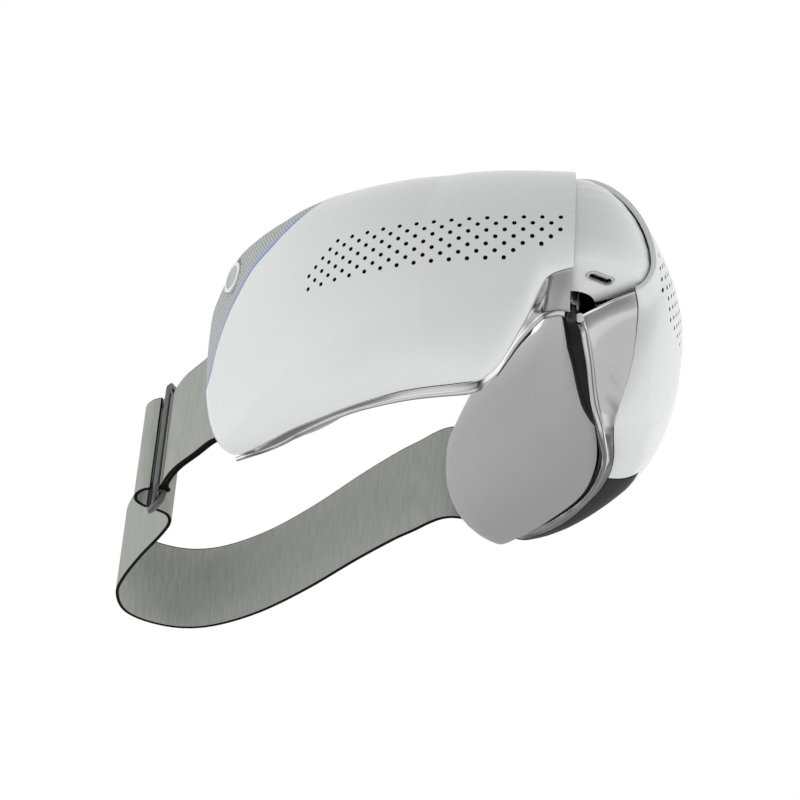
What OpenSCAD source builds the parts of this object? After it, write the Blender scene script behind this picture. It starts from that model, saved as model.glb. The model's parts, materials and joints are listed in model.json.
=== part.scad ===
// Foldable eye massager: two perforated halves on a vertical centre hinge,
// with a bright nose rim, teardrop cushions, fabric side panels and a head strap.
// Lengths in mm. Z is up, the front faces -Y, the wearer's head is on +Y.
// The Z axis is the fold axis and z = 0 is eye level. +X is the wearer's left half.
// Each half is described by s (along its outer arc), d (inwards) and z (up).

/* [Body] */
// Angle of each half from the flat position, as modelled
fold_angle = 34.3; // [30:0.1:40]
// Length of a half along its outer arc
half_arc = 176; // [172:1:178]
// Distance of the outer face from the fold axis at the nose
nose_r = 29.1; // [28:0.1:31]
// Wall of the outer shell
wall = 1.9; // [1.6:0.1:2.2]
// Rounding of the temple end
tip_r = 11; // [9:0.5:12]
// Gap between fixed neighbouring parts
seam = 0.2; // [0.15:0.05:0.3]

/* [Perforation] */
// Hole diameter
hole_d = 1.5; // [1:0.1:1.8]
// Distance between neighbouring hole columns along the arc
hole_col = 3; // [2.8:0.1:3.2]
// Distance between neighbouring hole rows
hole_row = 2.48; // [2.3:0.02:2.6]
// Distance of the first column from the nose
hole_start = 4.8; // [4.4:0.1:5.4]
// Number of columns
hole_cols = 31; // [20:1:31]

/* [Nose rim and lip] */
// Sheet thickness of the bright nose wall
sheet = 1.1; // [0.8:0.1:1.3]
// Lip radius at the nose
lip_nose = 1.6; // [1.2:0.1:1.8]
// Lip radius at the temple
lip_temple = 0.9; // [0.7:0.1:1.1]

/* [Side panel] */
// Width of the light line
light_w = 0.9; // [0.6:0.1:1.2]
// Outer radius of the ring around the button
ring_r = 5.9; // [5:0.1:6.4]
// Radius of the button
button_r = 4.3; // [3.6:0.1:4.8]
// Travel of the button
button_travel = 0.8; // [0.5:0.1:1]
// Running gap around the button
button_gap = 0.1; // [0.08:0.01:0.15]

/* [Cushion] */
// Arc position where the cushion begins at the nose
pad_from = 9; // [8.5:0.5:12]
// Arc position where the cushion ends at the temple
pad_to = 182; // [176:1:183]
// Depth of the seat behind the cushion
seat_depth = 4.5; // [3.5:0.5:5]

/* [Centre] */
// Step between the centre cover and the rims of the halves
cover_step = 2.5; // [2.3:0.1:2.8]
// Wall of the centre cover
cover_wall = 1.5; // [1.2:0.1:1.8]
// Half of the angle that the cover spans
cover_span = 52; // [50:1:54]
// Radius of the hinge knuckles
knuckle_r = 3.1; // [2.8:0.1:3.4]
// Radius of the hinge pin
pin_r = 1.5; // [1.2:0.1:1.6]
// Radial running gap on the hinge pin
pin_gap = 0.05; // [0.03:0.01:0.08]

/* [Charging socket] */
// Opening width
socket_w = 8.34; // [8.2:0.01:8.5]
// Opening height
socket_h = 2.56; // [2.5:0.01:2.7]
// Depth of the opening
socket_depth = 6.2; // [5:0.1:7]
// Distance of the socket from the fold axis
socket_r = 15.7; // [14:0.1:17]

/* [Strap] */
// Width of the strap
strap_w = 40; // [36:1:42]
// Height of the lower strap edge
strap_z = -30; // [-32:1:-28]
// Thickness of the long strap
strap_t = 1.5; // [1:0.1:1.8]
// Thickness of the doubled short strap
double_t = 3; // [2.4:0.1:3.2]
// Wire radius of the buckle
wire_r = 1.5; // [1.2:0.1:1.7]
// Buckle height between the wire centres
buckle_h = 47; // [46:1:50]
// Buckle width between the wire centres
buckle_w = 15.5; // [14:0.5:18]

/* [Inner parts] */
// Radius of the vibration motors
motor_r = 5; // [4:0.5:6]
// Thickness of the vibration motors
motor_t = 3.4; // [2.5:0.1:4]
// Radius of the speakers
speaker_r = 9; // [7:0.5:10]
// Radius of the air hoses
hose_r = 1.6; // [1.2:0.1:2]
// Radius of the air pump
pump_r = 5.5; // [4.5:0.5:6]
// Battery length
battery_l = 40; // [30:1:42]
// Battery height
battery_h = 34; // [24:1:36]
// Battery thickness
battery_t = 8; // [5:0.5:8]

/* [Hidden] */
arc_steps = 17;
// turn of the outer arc in degrees per mm, against the arc position
bend = [[0, 0.18], [60, 0.52], [100, 0.6], [130, 0.19], [160, 0], [200, 0]];
// upper half of the section: edge depth, edge height and roundness
top_d = [[0, 28.6], [45, 29.7], [90, 35.4], [120, 24.2], [150, 24.3], [175, 15]];
top_z = [[0, 40.3], [45, 42.6], [90, 43.4], [120, 38.9], [150, 36.9], [175, 11.5]];
top_p = [[0, 1.71], [50, 1.54], [92, 2.24], [106, 2.6], [122, 3.2], [150, 5]];
// lower half of the section, with the nose notch
low_d = [[0, 7], [8, 8.4], [16, 12.1], [26, 19], [35, 22], [50, 23.2], [80, 22.6], [105, 21.6],
  [130, 18.2], [151, 16.3], [175, 15.5]];
low_z = [[0, -7.3], [8, -9.9], [16, -24.9], [26, -37.6], [34, -41.2], [50, -41.3], [64, -41.6], [80,
    -42.6],
  [115, -43.6], [135, -43.7], [151, -42.8], [175, -38.7]];
low_p = [[0, 1.84], [10, 1.64], [32, 1.9], [50, 2.3], [100, 2.45], [176, 2.3]];
// lip of the nose rim
lip_d = [[0, 26.5], [10, 28], [24, 28], [34, 26.5], [45, 26.6], [60, 26.3], [80, 25.9], [107, 24],
  [141, 21.4], [170, 19], [184, 18.4]];
lip_z = [[0, -14], [5, -12.8], [10, -13.5], [15, -17.5], [20, -23], [25, -30.2], [30, -37.6], [35, -41.4],
  [40, -42.4], [60, -42.6], [90, -43.1], [115, -43.8], [135, -43.7], [150, -42.5], [165, -40], [184,
      -36.5]];
// depth of the dark seat wall behind the lip
seat_w = [[0, 7.5], [12, 6.5], [22, 4.7], [32, 3], [40, 0.9], [184, 0.6]];
// depth of the recess in the seat
seat_cut = [[0, 0.15], [24, 0.2], [42, 1], [140, 1], [158, 0.3], [184, 0.3]];
// height of the light line on the temple
line_z = [[88, 44], [94, 41], [100, 34.5], [107, 27], [115, 22], [123, 19], [133, 16.2], [142, 11],
  [149, 6.3], [157, -3], [163, -13.5], [170, -21]];
// upper edge of the battery cover
cover_z = [[82, -39], [150, -39], [176, -35.5]];
// cushion crown depth against the arc position
crown = [[8, 38], [30, 40.5], [60, 44], [90, 47.5], [120, 50.5], [150, 52], [182, 52]];
// height of the cushion edge above the lip; the left cushion sags at the temple
pad_gap = [[[0, 4], [16, 4.2], [30, 2.8], [40, 2.4], [60, 2.8], [100, 4.8], [140, 7], [184, 7.5]],
  [[0, 4], [16, 4.2], [30, 2.6], [40, 0.9], [60, 0.5], [130, -0.4], [155, -2.4], [184, -6.5]]];
// strap centre lines seen from above
long_path = [[60.5, 132.5], [55.5, 135.6], [48.5, 136.4], [43, 138.6], [40.2, 143], [39, 150], [38.5,
    160], [37.3, 175], [37, 205], [38, 250], [36, 290],
  [29, 320], [18, 335], [2, 338], [-13, 331], [-25, 312], [-31, 291], [-36, 262], [-39, 238],
  [-42, 221], [-46.5, 212.5], [-52, 210], [-58, 209.5], [-63, 206.5], [-65.5, 201], [-65.5, 195],
      [-63.8, 191.5]];
short_path = [[-64, 134], [-64, 150], [-64, 165], [-62.5, 177], [-60.2, 186.3]];
bar_a = [-59.5, 189];
// depth of the strap where it leaves the temple
anchor_d = 15.3;

// smooth curve through a short list of points
function secant(p, i) = (p[i + 1][1] - p[i][1]) / (p[i + 1][0] - p[i][0]);
function slope(p, i) = let (n = len(p))
  i == 0 ? secant(p, 0) : i == n - 1 ? secant(p, n - 2) :
  let (a = secant(p, i - 1), b = secant(p, i)) a * b <= 0 ? 0 : 2 * a * b / (a + b);
function curve(p, x) =
  let (n = len(p), c = min(max(x, p[0][0]), p[n - 1][0]))
  let (i = max([for (k = [0 : n - 2]) c >= p[k][0] ? k : 0]))
  let (w = p[i + 1][0] - p[i][0], t = (c - p[i][0]) / w)
  p[i][1] * (1 - t) * (1 - t) * (1 + 2 * t) + p[i + 1][1] * t * t * (3 - 2 * t)
  + w * t * (1 - t) * (slope(p, i) * (1 - t) - slope(p, i + 1) * t);

// outer arc seen from above: x, y and heading at every millimetre
arc = [for (i = 0, x = 0, y = -nose_r, h = 0; i <= 190;
  h = h + lookup(i + 0.5, bend), x = x + cos(h), y = y + sin(h), i = i + 1) [x, y, h]];
function arc_at(s) = let (c = min(max(s, 0), 189.99), i = floor(c)) arc[i] + (arc[i + 1] - arc[i]) *
    (c - i);
function pt(s, d, z) = let (a = arc_at(s)) [a[0] - sin(a[2]) * d, a[1] + cos(a[2]) * d, z];

// section of the shell at s: depth and height for the angle q, g inside the outer face
function mid_z(s) = 2.2 + 0.0166 * s;
function up(a, p) = pow(max(a, 0), 2 / p);
function sec(s, q, g) = let (m = mid_z(s), c = cos(q), v = abs(sin(q)))
  q >= 0 ?
  let (p = lookup(s, top_p), e = curve(top_d, s)) [e - (e - g) * up(c, p), m + (curve(top_z, s)
      - m - g) * up(v, p)] :
  let (p = lookup(s, low_p), e = curve(low_d, s)) [max(e, g + 0.5) - (max(e, g + 0.5) - g) * up(c, p),
      m - (m - curve(low_z, s) - g) * up(v, p)];
function angle_of(s, z) = let (m = mid_z(s))
  z >= m ? asin(pow(min(1, (z - m) / (curve(top_z, s) - m)), lookup(s, top_p) / 2)) :
  -asin(pow(min(1, (m - z) / (m - curve(low_z, s))), lookup(s, low_p) / 2));

// a closed sheet between two grids of points of the same size
function row_faces(m, n, o, f, p) = [for (i = [0 : m - 2]) for (j = [0 : n - 2])
  let (a = o + i * n + j, b = a + 1, c = a + n, e = c + 1, k = norm(p[a] - p[e]) < norm(p[b] - p[c]))
  for (t = k ? [[a, e, b], [a, c, e]] : [[a, c, b], [b, c, e]]) f ? t : [t[2], t[1], t[0]]];
function rim(k, o) = let (n = len(k)) [for (i = [0 : n - 1])
  let (a = k[i], b = k[(i + 1) % n]) for (t = [[a, b, a + o], [b, b + o, a + o]]) t];
function ring_ids(m, n) = concat([for (j = [0 : n - 1]) j], [for (i = [1 : m - 1]) i * n + n - 1],
  [for (j = [n - 2 : -1 : 0]) (m - 1) * n + j], [for (i = [m - 2 : -1 : 1]) i * n]);
module skin(a, b) {
  m = len(a);
  n = len(a[0]);
  pts = concat([for (r = a) for (p = r) p], [for (r = b) for (p = r) p]);
  polyhedron(pts, concat(row_faces(m, n, 0, true, pts), row_faces(m, n, m * n, false, pts),
    rim(ring_ids(m, n), m * n)), convexity = 10);
}
// grid moved along its own normals
function inset(a, g) = let (m = len(a), n = len(a[0])) [for (i = [0 : m - 1]) [for (j = [0 : n - 1])
  let (u = a[min(i + 1, m - 1)][j] - a[max(i - 1, 0)][j], v = a[i][min(j + 1, n - 1)] - a[i][max(j - 1,
      0)])
  let (w = cross(u, v)) a[i][j] + w / norm(w) * g]];

// stations along the arc, closer at the nose, and the rounded temple end
nose_s = [seam, 3, 6, 8.5, 11, 13.5, 16, 18.5, 21, 24, 27, 31, 36, 42, 50, 58, 66, 74, 82, 83];
temple_s = [88, 94, 98, 103, 108, 113, 118, 124, 130, 136, 142, 148, 154, 160];
tip_q = [0, 15, 30, 45, 60, 72];
// a piece of the shell between two height curves; it closes round the temple end
function lay(s, lo, hi, g, n) = let (a = angle_of(s, lo), b = angle_of(s, hi))
  [for (j = [0 : n]) let (c = sec(s, a + (b - a) * j / n, g)) pt(s, c[0], c[1])];
function tip(lo, hi, g, n) = [for (q = tip_q)
  let (r = tip_r - g, s = half_arc - tip_r + r * sin(q), v = sin(q))
  lay(s, lo[0] + (lo[1] - lo[0]) * v, hi[0] + (hi[1] - hi[0]) * v, g + r * (1 - cos(q)), n)];
module shell_piece(stations, lo, hi, g0, g1, n) {
  m = len(stations);
  grid = function (g) concat(
    [for (k = [0 : m - 1]) lay(stations[k], lo[k], hi[k], g, n)],
    tip([lo[m], lo[m + 1]], [hi[m], hi[m + 1]], g, n));
  skin(grid(g1), grid(g0));
}

module half(side) {
  mirror([side < 0 ? 1 : 0, 0, 0]) rotate([0, 0, fold_angle]) children();
}
// frame of reference on the arc: x along it, y inwards, z up
module on_arc(s, d, z) {
  translate(pt(s, d, z)) rotate([0, 0, arc_at(s)[2]]) children();
}
all_s = concat(nose_s, temple_s);
// edge heights along a list of stations and at both sides of the temple rounding
function ends(list) = concat(list, [half_arc - tip_r, half_arc]);
function edge(table, list, g) = [for (s = ends(list)) curve(table, s) + g];
cover_from = 82;

module shell(side) {
  lo = [for (s = ends(all_s)) side < 0 || s <= cover_from ? curve(low_z, s) : curve(cover_z, s)];
  hi = [for (s = ends(all_s)) s <= 88 ? curve(top_z, s) : curve(line_z, s) - seam];
  half(side) difference() {
    shell_piece(all_s, lo, hi, 0, wall, arc_steps);
    holes();
  }
}
// quincunx of speaker holes, trimmed to a slant at both ends
function hole_rows(c) = let (odd = c % 2)
  c < 4 ? (odd == 1 ? [2, 4] : c == 0 ? [1, 3] : [1, 3, 5]) :
  c == 4 ? [1, 3, 5] :
  c == 28 ? [3, 5, 7] :
  c == 29 ? [4, 6] :
  c == 30 ? [5, 7] :
  odd == 1 ? [2, 4, 6] : [1, 3, 5, 7];
module holes() {
  for (c = [0 : hole_cols - 1]) for (r = hole_rows(c)) {
    s = hole_start + hole_col * c;
    z = -(r - 4) * hole_row;
    q = angle_of(s, z);
    d = sec(s, q, 0)[0];
    on_arc(s, d, z) rotate([90, 0, 0]) cylinder(d = hole_d, h = 10, center = true, $fn = 24);
  }
}

module nose_wall(side) {
  list = concat([0.8], [for (s = nose_s) if (s > 1 && s < 83) s], temple_s, [165]);
  grid = [for (s = list) let (c = sec(s, -90, 0), r = lip_r(s), l = [curve(lip_d, s) - r * 0.9,
      curve(lip_z, s) - 0.2 * r])
    let (a = [c[0] + 0.3, c[1] - 0.1])
    [for (j = [0 : 5]) let (t = j / 5, m = a + (l - a) * t, k = min(0.5, norm(l - a) * 0.05) *
        sin(180 * t)) pt(s, m[0], m[1] + k)]];
  half(side) skin(grid, inset(grid, sheet));
}
function lip_r(s) = lip_nose + (lip_temple - lip_nose) * min(1, s / 90);

module trim_ring(side) {
  list = concat([2], [for (s = nose_s) if (s > 2) s], temple_s, [167, 173]);
  rings = [for (s = list) let (r = lip_r(s))
    [for (j = [0 : 7]) pt(s, curve(lip_d, s) + r * cos(j * 45 + 22.5), curve(lip_z, s) + r * sin(j *
        45 + 22.5))]];
  m = len(rings);
  pts = [for (r = rings) for (p = r) p];
  f = concat(
    [for (i = [0 : m - 2]) for (j = [0 : 7]) let (a = i * 8 + j, b = i * 8 + (j + 1) % 8)
      for (t = [[a, a + 8, b], [b, a + 8, b + 8]]) t],
    [for (j = [1 : 6]) [0, j, j + 1]],
    [for (j = [1 : 6]) [(m - 1) * 8, (m - 1) * 8 + j + 1, (m - 1) * 8 + j]]);
  half(side) polyhedron(pts, f, convexity = 10);
}

function frame_low(s) = [curve(lip_d, s) + lip_r(s) + 0.1, curve(lip_z, s) + 1.1];
function frame_rim(s) = [curve(lip_d, s) + lip_r(s) + curve(seat_w, s),
  max(curve(lip_z, s) + 1.6, s > 40 ? -60 : curve(low_z, max(0, s - 3)) + 2.6)];
function frame_top(s) = [max(curve(top_d, s) + 0.8, s > 150 ? 22.8 : 0), curve(top_z, s) - 2.8];
function frame_pt(s, q) = let (a = frame_rim(s), b = frame_top(s), t = (sin(q) + 1) / 2)
  [a[0] + (b[0] - a[0]) * t - seat_depth * curve(seat_cut, s) * up(cos(q), 5), a[1] + (b[1] - a[1]) * t];
// the seat closes round the cushion at its temple end
frame_to = 178;
function end_fade(s, to) = s < to - 20 ? 1 : pow(1 - pow((s - to + 20) / 20, 3), 0.333);
function fade(s, z) = pad_mid(s) + (z - pad_mid(s)) * end_fade(s, frame_to + 0.6);
module frame(side) {
  list = [9, 11, 13.5, 16, 18.5, 21, 24, 27, 31, 36, 42, 50, 62, 74, 88, 100, 112, 124, 136, 148, 158,
      163, 168, 172, 175, 177, frame_to];
  grid = [for (s = list) let (a = frame_low(s))
    concat([pt(s, a[0], fade(s, a[1]))], [for (q = [-90, -72, -54, -36, -12, 12, 36, 54, 72, 90])
        let (c = frame_pt(s, q)) pt(s, c[0], fade(s, c[1]))])];
  half(side) skin(grid, inset(grid, 1));
}

// cushion as rings that shrink from the outline to the middle line
pad_n = 18;
function pad_low(s, side) = curve(lip_z, s) + curve(pad_gap[side < 0 ? 0 : 1], s);
function pad_up(s) = frame_top(s)[1] - 3;
function pad_mid(s) = (frame_rim(s)[1] + frame_top(s)[1]) / 2 - 1;
function pad_base(s, z) = let (a = frame_rim(s), b = frame_top(s))
  a[0] + (b[0] - a[0]) * min(1, max(0, (z - a[1]) / (b[1] - a[1]))) - 0.1;
function pad_out(b, side) = let (k = b > pad_n ? 2 * pad_n - b : b, a = 180 * k / pad_n)
  let (s = pad_from + (pad_to - pad_from) * (1 - cos(a)) / 2, e = a < 90 ? pow(sin(a), 0.62) :
      end_fade(s, pad_to + 0.1), m = pad_mid(s))
  [s, b > pad_n ? m - (m - pad_low(s, side)) * e : m + (pad_up(s) - m) * e];
// a is the angle up the dome from the rim to the crown; below 0 it tucks in
function pad_pt(b, a, side) = let (o = pad_out(b, side), c = cos(a), st = min(max(o[0], pad_from + 30),
    pad_to - 40))
  let (k = o[1] < pad_mid(o[0]) ? 1.02 : 1)
  let (s = st + (o[0] - st) * pow(c, 0.42), m = pad_mid(st), z = pad_mid(s) + (o[1] - pad_mid(o[0])) *
      pow(c, k))
  let (d = pad_base(s, z), h = a < 0 ? 0.04 * sin(a) : pow(sin(a), k))
  pt(s, d + 0.9 + h * (curve(crown, s) - d - 0.9), z);
module cushion(side) {
  n = 2 * pad_n;
  al = [-28, 0, 9, 20, 32, 45, 58, 70, 80, 87];
  m = len(al);
  pts = [for (a = al) for (b = [0 : n - 1]) pad_pt(b, a, side)];
  cap = function (o, f) [for (i = [0 : pad_n - 1])
    let (a = o + i, b = o + (n - i) % n, c = o + i + 1, e = o + n - i - 1)
    for (t = i == 0 ? [[a, e, c]] : i == pad_n - 1 ? [[a, b, c]] : [[a, b, c], [b, e, c]]) f ? t :
        [t[2], t[1], t[0]]];
  f = concat(
    [for (i = [0 : m - 2]) for (j = [0 : n - 1]) let (a = i * n + j, b = i * n + (j + 1) % n)
      for (t = [[a, a + n, b], [b, a + n, b + n]]) t],
    cap(0, false), cap((m - 1) * n, true));
  half(side) polyhedron(pts, f, convexity = 10);
}

// thin bodies in the seat behind the cushion
function seat_grid(s0, s1, z0, z1, off) = [for (i = [0 : 5]) let (s = s0 + (s1 - s0) * i / 5) [for (j =
    [0 : 4])
  let (z = z0 + (z1 - z0) * j / 4, a = frame_rim(s), b = frame_top(s), t = (z - a[1]) / (b[1] - a[1]),
      q = asin(2 * t - 1))
  pt(s, frame_pt(s, q)[0] + off, z)]];
module airbag(side) {
  grid = seat_grid(56, 140, -26, 24, 1.8);
  half(side) skin(inset(grid, -1.2), grid);
}
module heat_plate(side) {
  grid = seat_grid(60, 136, -22, 20, 0.8);
  half(side) skin(inset(grid, -0.6), grid);
}

// fabric side panel, its light line, and the ring button
panel_s = [for (s = temple_s) if (s >= 94) s];
button_s = half_arc - 25;
button_z = 21;
button_q = angle_of(button_s, button_z);
// axis of the button: -y points out of the panel
module on_button() {
  a = sec(button_s, button_q - 3, 0);
  b = sec(button_s, button_q + 3, 0);
  c = sec(button_s, button_q, 0);
  half(-1) on_arc(button_s, c[0], c[1]) rotate([-atan2(b[0] - a[0], b[1] - a[1]), 0, 0]) children();
}
module stub(r, y0, y1) {
  translate([0, y0, 0]) rotate([-90, 0, 0]) cylinder(r = r, h = y1 - y0, $fn = 48);
}
module side_panel(side) {
  difference() {
    half(side) shell_piece(panel_s, edge(line_z, panel_s, light_w + seam), edge(top_z, panel_s, 0),
        0.2, wall, 10);
    if (side < 0) on_button() stub(ring_r + 0.1, -6, 6);
  }
}
module light_strip(side) {
  half(side) shell_piece(panel_s, edge(line_z, panel_s, 0), edge(line_z, panel_s, light_w), 0, 1.2, 2);
}
module button_ring_form() {
  on_button() difference() {
    stub(ring_r, -0.3, 1.6);
    stub(button_r + button_gap, -2, 3);
  }
}
module power_button_form() {
  on_button() {
    stub(button_r, -0.1, 1.4);
    stub(1.2, 1.3, 2.4);
  }
}
module button_switch_form() {
  on_button() translate([-3, 2.4 + button_travel + 0.1, -3]) cube([6, 3, 6]);
}

module battery_cover() {
  list = concat([83.2], temple_s);
  half(1) shell_piece(list, edge(low_z, list, 0), edge(cover_z, list, -seam), 0, wall, 5);
}

// centre cover: the rim profile of the halves, one step smaller
function cover_line(g) = concat([[7.4, cone_z(7.4) + g - cover_step], [nose_r - curve(low_d, 0) - 0.4,
    cone_z(nose_r - curve(low_d, 0)) + g - cover_step]],
  [for (q = [-66 : 11 : 77]) let (c = sec(0, q, g)) [nose_r - c[0], c[1]]], [[3.8, curve(top_z, 0)
      - g - 0.9]]);
function cone_z(r) = -4.8 - (22.1 - r) * 0.217;
module on_cone() {
  translate([0, -socket_r, cone_z(socket_r)]) rotate([-12.2, 0, 0]) children();
}
module slot(w, h, z0, z1) {
  for (x = [-1, 1]) translate([x * (w - h) / 2, 0, z0]) cylinder(d = h, h = z1 - z0, $fn = 40);
  translate([-(w - h) / 2, -h / 2, z0]) cube([w - h, h, z1 - z0]);
}
module spine_cover_form() {
  difference() {
    union() {
      rotate([0, 0, -90 - cover_span]) rotate_extrude(angle = 2 * cover_span, $fn = 144)
        polygon(concat(cover_line(cover_step), [for (k = [len(cover_line(0)) - 1 : -1 : 0])
            cover_line(cover_step + cover_wall)[k]]));
      translate([0, 0, 2.2]) cylinder(r = knuckle_r, h = 7.8, $fn = 48);
      translate([-1.2, -25, 3]) cube([2.4, 23, 6]);
    }
    on_cone() slot(socket_w + 2.2, socket_h + 2.2, -3, 3);
    translate([0, 0, 1]) cylinder(r = pin_r + pin_gap, h = 10, $fn = 48);
  }
}
module socket_ring_form() {
  on_cone() difference() {
    slot(socket_w + 2, socket_h + 2, -0.2, 1.6);
    slot(socket_w + 0.7, socket_h + 0.7, -1, 3);
  }
}
module usb_socket_form() {
  on_cone() {
    difference() {
      slot(socket_w + 0.6, socket_h + 0.6, 0.3, socket_depth + 0.8);
      slot(socket_w, socket_h, 0, socket_depth);
    }
    translate([-3.35, -0.35, 1.2]) cube([6.7, 0.7, socket_depth - 0.5]);
  }
}
module port_board_form() {
  on_cone() translate([-7, -5, socket_depth + 0.9]) cube([14, 9, 0.9]);
}
module flex_cable_form() {
  translate([2, 0, 0]) rotate([90, 0, 90]) linear_extrude(5)
    band([[-13, 2.6], [-11, 3.4], [-9.5, 6], [-9.5, 10], [-8.5, 13], [-6.5, 14.5]], 0.25, 3);
}
module hinge_pin_form() {
  translate([0, 0, -15]) cylinder(r = pin_r, h = 43, $fn = 48);
  translate([0, 0, 27]) cylinder(r = pin_r + 1, h = 1.6, $fn = 48);
}
arm_levels = [[[-10.5, -6.2], [18.2, 26.8]], [[-6, 2], [10.2, 18]]];
module hinge_arm(side) {
  half(side) for (l = arm_levels[side < 0 ? 0 : 1]) difference() {
    union() {
      translate([0, 0, l[0]]) cylinder(r = knuckle_r, h = l[1] - l[0], $fn = 48);
      translate([0, -4.2, l[0]]) cube([26, 1.8, l[1] - l[0]]);
    }
    translate([0, 0, l[0] - 1]) cylinder(r = pin_r + pin_gap, h = 20, $fn = 48);
    for (x = [15, 22]) translate([x, -3.3, (l[0] + l[1]) / 2])
      rotate([90, 0, 0]) cylinder(r = 0.85, h = 4, center = true, $fn = 32);
  }
}
module screws(side) {
  half(side) for (l = arm_levels[side < 0 ? 0 : 1]) for (x = [15, 22]) translate([x, -4.25, (l[0] +
      l[1]) / 2]) {
    rotate([90, 0, 0]) cylinder(r = 1.7, h = 0.9, $fn = 32);
    rotate([-90, 0, 0]) cylinder(r = 0.8, h = 1.8, $fn = 32);
  }
}

// inner pieces
module hose(s) {
  on_arc(s, 18, -10) rotate([0, 90, 0]) cylinder(r = hose_r, h = 14, center = true, $fn = 32);
}
module motor() {
  on_arc(60, 17, -22) stub(motor_r, -motor_t / 2, motor_t / 2);
}
module speaker() {
  rotate([90, 0, 0]) {
    cylinder(r = speaker_r, h = 2, center = true, $fn = 48);
    translate([0, 0, -2.4]) cylinder(r = speaker_r * 0.6, h = 3, center = true, $fn = 48);
  }
}
module pump() {
  rotate([0, 90, 0]) cylinder(r = pump_r, h = 18, $fn = 48);
  translate([-10, -5, -5]) cube([10.2, 10, 10]);
  translate([-13, 0, 0]) rotate([0, 90, 0]) cylinder(r = 1.4, h = 4, $fn = 32);
}
module main_board_form() {
  translate([-17, -0.8, -22]) cube([34, 1.6, 44]);
  for (b = [[-11, -12, 9, 9], [4, -4, 8, 12], [-9, 8, 6, 6]]) translate([b[0], 0.7, b[1]]) cube([b[2],
      1.4, b[3]]);
}
module battery_form() {
  translate([-battery_l / 2, -battery_t / 2, -battery_h / 2]) cube([battery_l, battery_t, battery_h]);
  translate([battery_l / 2, -battery_t / 2 + 1, 4]) cube([2, battery_t - 2, 9]);
}
module anchor(side) {
  t = side < 0 ? double_t : strap_t;
  half(side) on_arc(160, anchor_d, strap_z + strap_w / 2) difference() {
    translate([-4.5, -t / 2 - 1.5, -22]) cube([7, t + 3, 44]);
    translate([-3, -t / 2 - 0.4, -strap_w / 2 - 0.3]) cube([9, t + 0.8, strap_w + 0.6]);
  }
}

// strap: a band along a smooth path seen from above
function plan(side, s, d) = let (p = pt(s, d, 0), c = cos(fold_angle), v = sin(fold_angle))
  [(p[0] * c - p[1] * v) * side, p[0] * v + p[1] * c];
function smooth(p, n) = let (m = len(p)) concat([for (i = [0 : m - 2]) for (k = [0 : n - 1])
  let (t = k / n, a = p[max(i - 1, 0)], b = p[i], c = p[i + 1], e = p[min(i + 2, m - 1)])
  0.5 * (2 * b + (c - a) * t + (2 * a - 5 * b + 4 * c - e) * t * t + (3 * b - a - 3 * c + e) * t * t *
      t)], [p[m - 1]]);
module band(p, t, n) {
  q = smooth(p, n);
  m = len(q);
  nrm = [for (i = [0 : m - 1]) let (v = q[min(i + 1, m - 1)] - q[max(i - 1, 0)]) [-v[1],
      v[0]] / norm(v) * t / 2];
  polygon(concat([for (i = [0 : m - 1]) q[i] + nrm[i]], [for (i = [m - 1 : -1 : 0]) q[i] - nrm[i]]));
}
function strap_root(side) = [for (k = [0 : 2]) plan(side, [159, 166, 174][k], anchor_d + [0, 0.6,
    1.6][k])];
module strap_long_form() {
  translate([0, 0, strap_z]) linear_extrude(strap_w)
    band(concat(strap_root(1), long_path), strap_t, 3);
}
module strap_short_form() {
  difference() {
    translate([0, 0, strap_z]) union() {
      linear_extrude(strap_w) band(concat(strap_root(-1), short_path), double_t, 3);
      translate([bar_a[0], bar_a[1], 0]) cylinder(r = wire_r + 1.6, h = strap_w, $fn = 48);
    }
    translate([bar_a[0], bar_a[1], strap_z - 1]) cylinder(r = wire_r + 0.09, h = strap_w + 2, $fn = 48);
  }
}
module wire_loop(w, h, c, r) {
  for (x = [0, w]) translate([x, 0, c]) cylinder(r = r, h = h - 2 * c, $fn = 32);
  for (z = [0, h]) translate([c, 0, z]) rotate([0, 90, 0]) cylinder(r = r, h = w - 2 * c, $fn = 32);
  for (k = [0 : 3]) translate([k == 0 || k == 3 ? w - c : c, 0, k < 2 ? h - c : c])
    rotate([90, 0, 0]) rotate([0, 0, 90 * k]) rotate_extrude(angle = 90, $fn = 48) translate([c, 0])
        circle(r = r, $fn = 32);
}
module buckle_form() {
  translate([bar_a[0], bar_a[1], strap_z + strap_w / 2 - buckle_h / 2]) rotate([0, 0, 84])
    wire_loop(buckle_w, buckle_h, 3, wire_r);
}

// one module for every sub-part
module right_shell() { color("white") shell(-1); }
module right_nose_wall() { color("silver") nose_wall(-1); }
module right_frame() { color("black") frame(-1); }
module right_trim_ring() { color("silver") trim_ring(-1); }
module right_cushion() { color("gray") cushion(-1); }
module right_airbag() { color("lightgray") airbag(-1); }
module right_heat_plate() { color("orange") heat_plate(-1); }
module right_motor() { color("silver") half(-1) motor(); }
module right_speaker() { color("dimgray") half(-1) on_arc(62, 6.4, 1) speaker(); }
module right_side_panel() { color("darkgray") side_panel(-1); }
module right_light_strip() { color("deepskyblue") light_strip(-1); }
module right_hose() { color("black") half(-1) hose(104); }
module right_hinge_arm() { color("black") hinge_arm(-1); }
module right_strap_anchor() { color("black") anchor(-1); }
module right_screws() { color("silver") screws(-1); }
module left_shell() { color("white") shell(1); }
module left_nose_wall() { color("silver") nose_wall(1); }
module left_frame() { color("black") frame(1); }
module left_trim_ring() { color("silver") trim_ring(1); }
module left_cushion() { color("gray") cushion(1); }
module left_airbag() { color("lightgray") airbag(1); }
module left_heat_plate() { color("orange") heat_plate(1); }
module left_motor() { color("silver") half(1) motor(); }
module left_speaker() { color("dimgray") half(1) on_arc(62, 6.4, 1) speaker(); }
module left_side_panel() { color("darkgray") side_panel(1); }
module left_light_strip() { color("deepskyblue") light_strip(1); }
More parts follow.
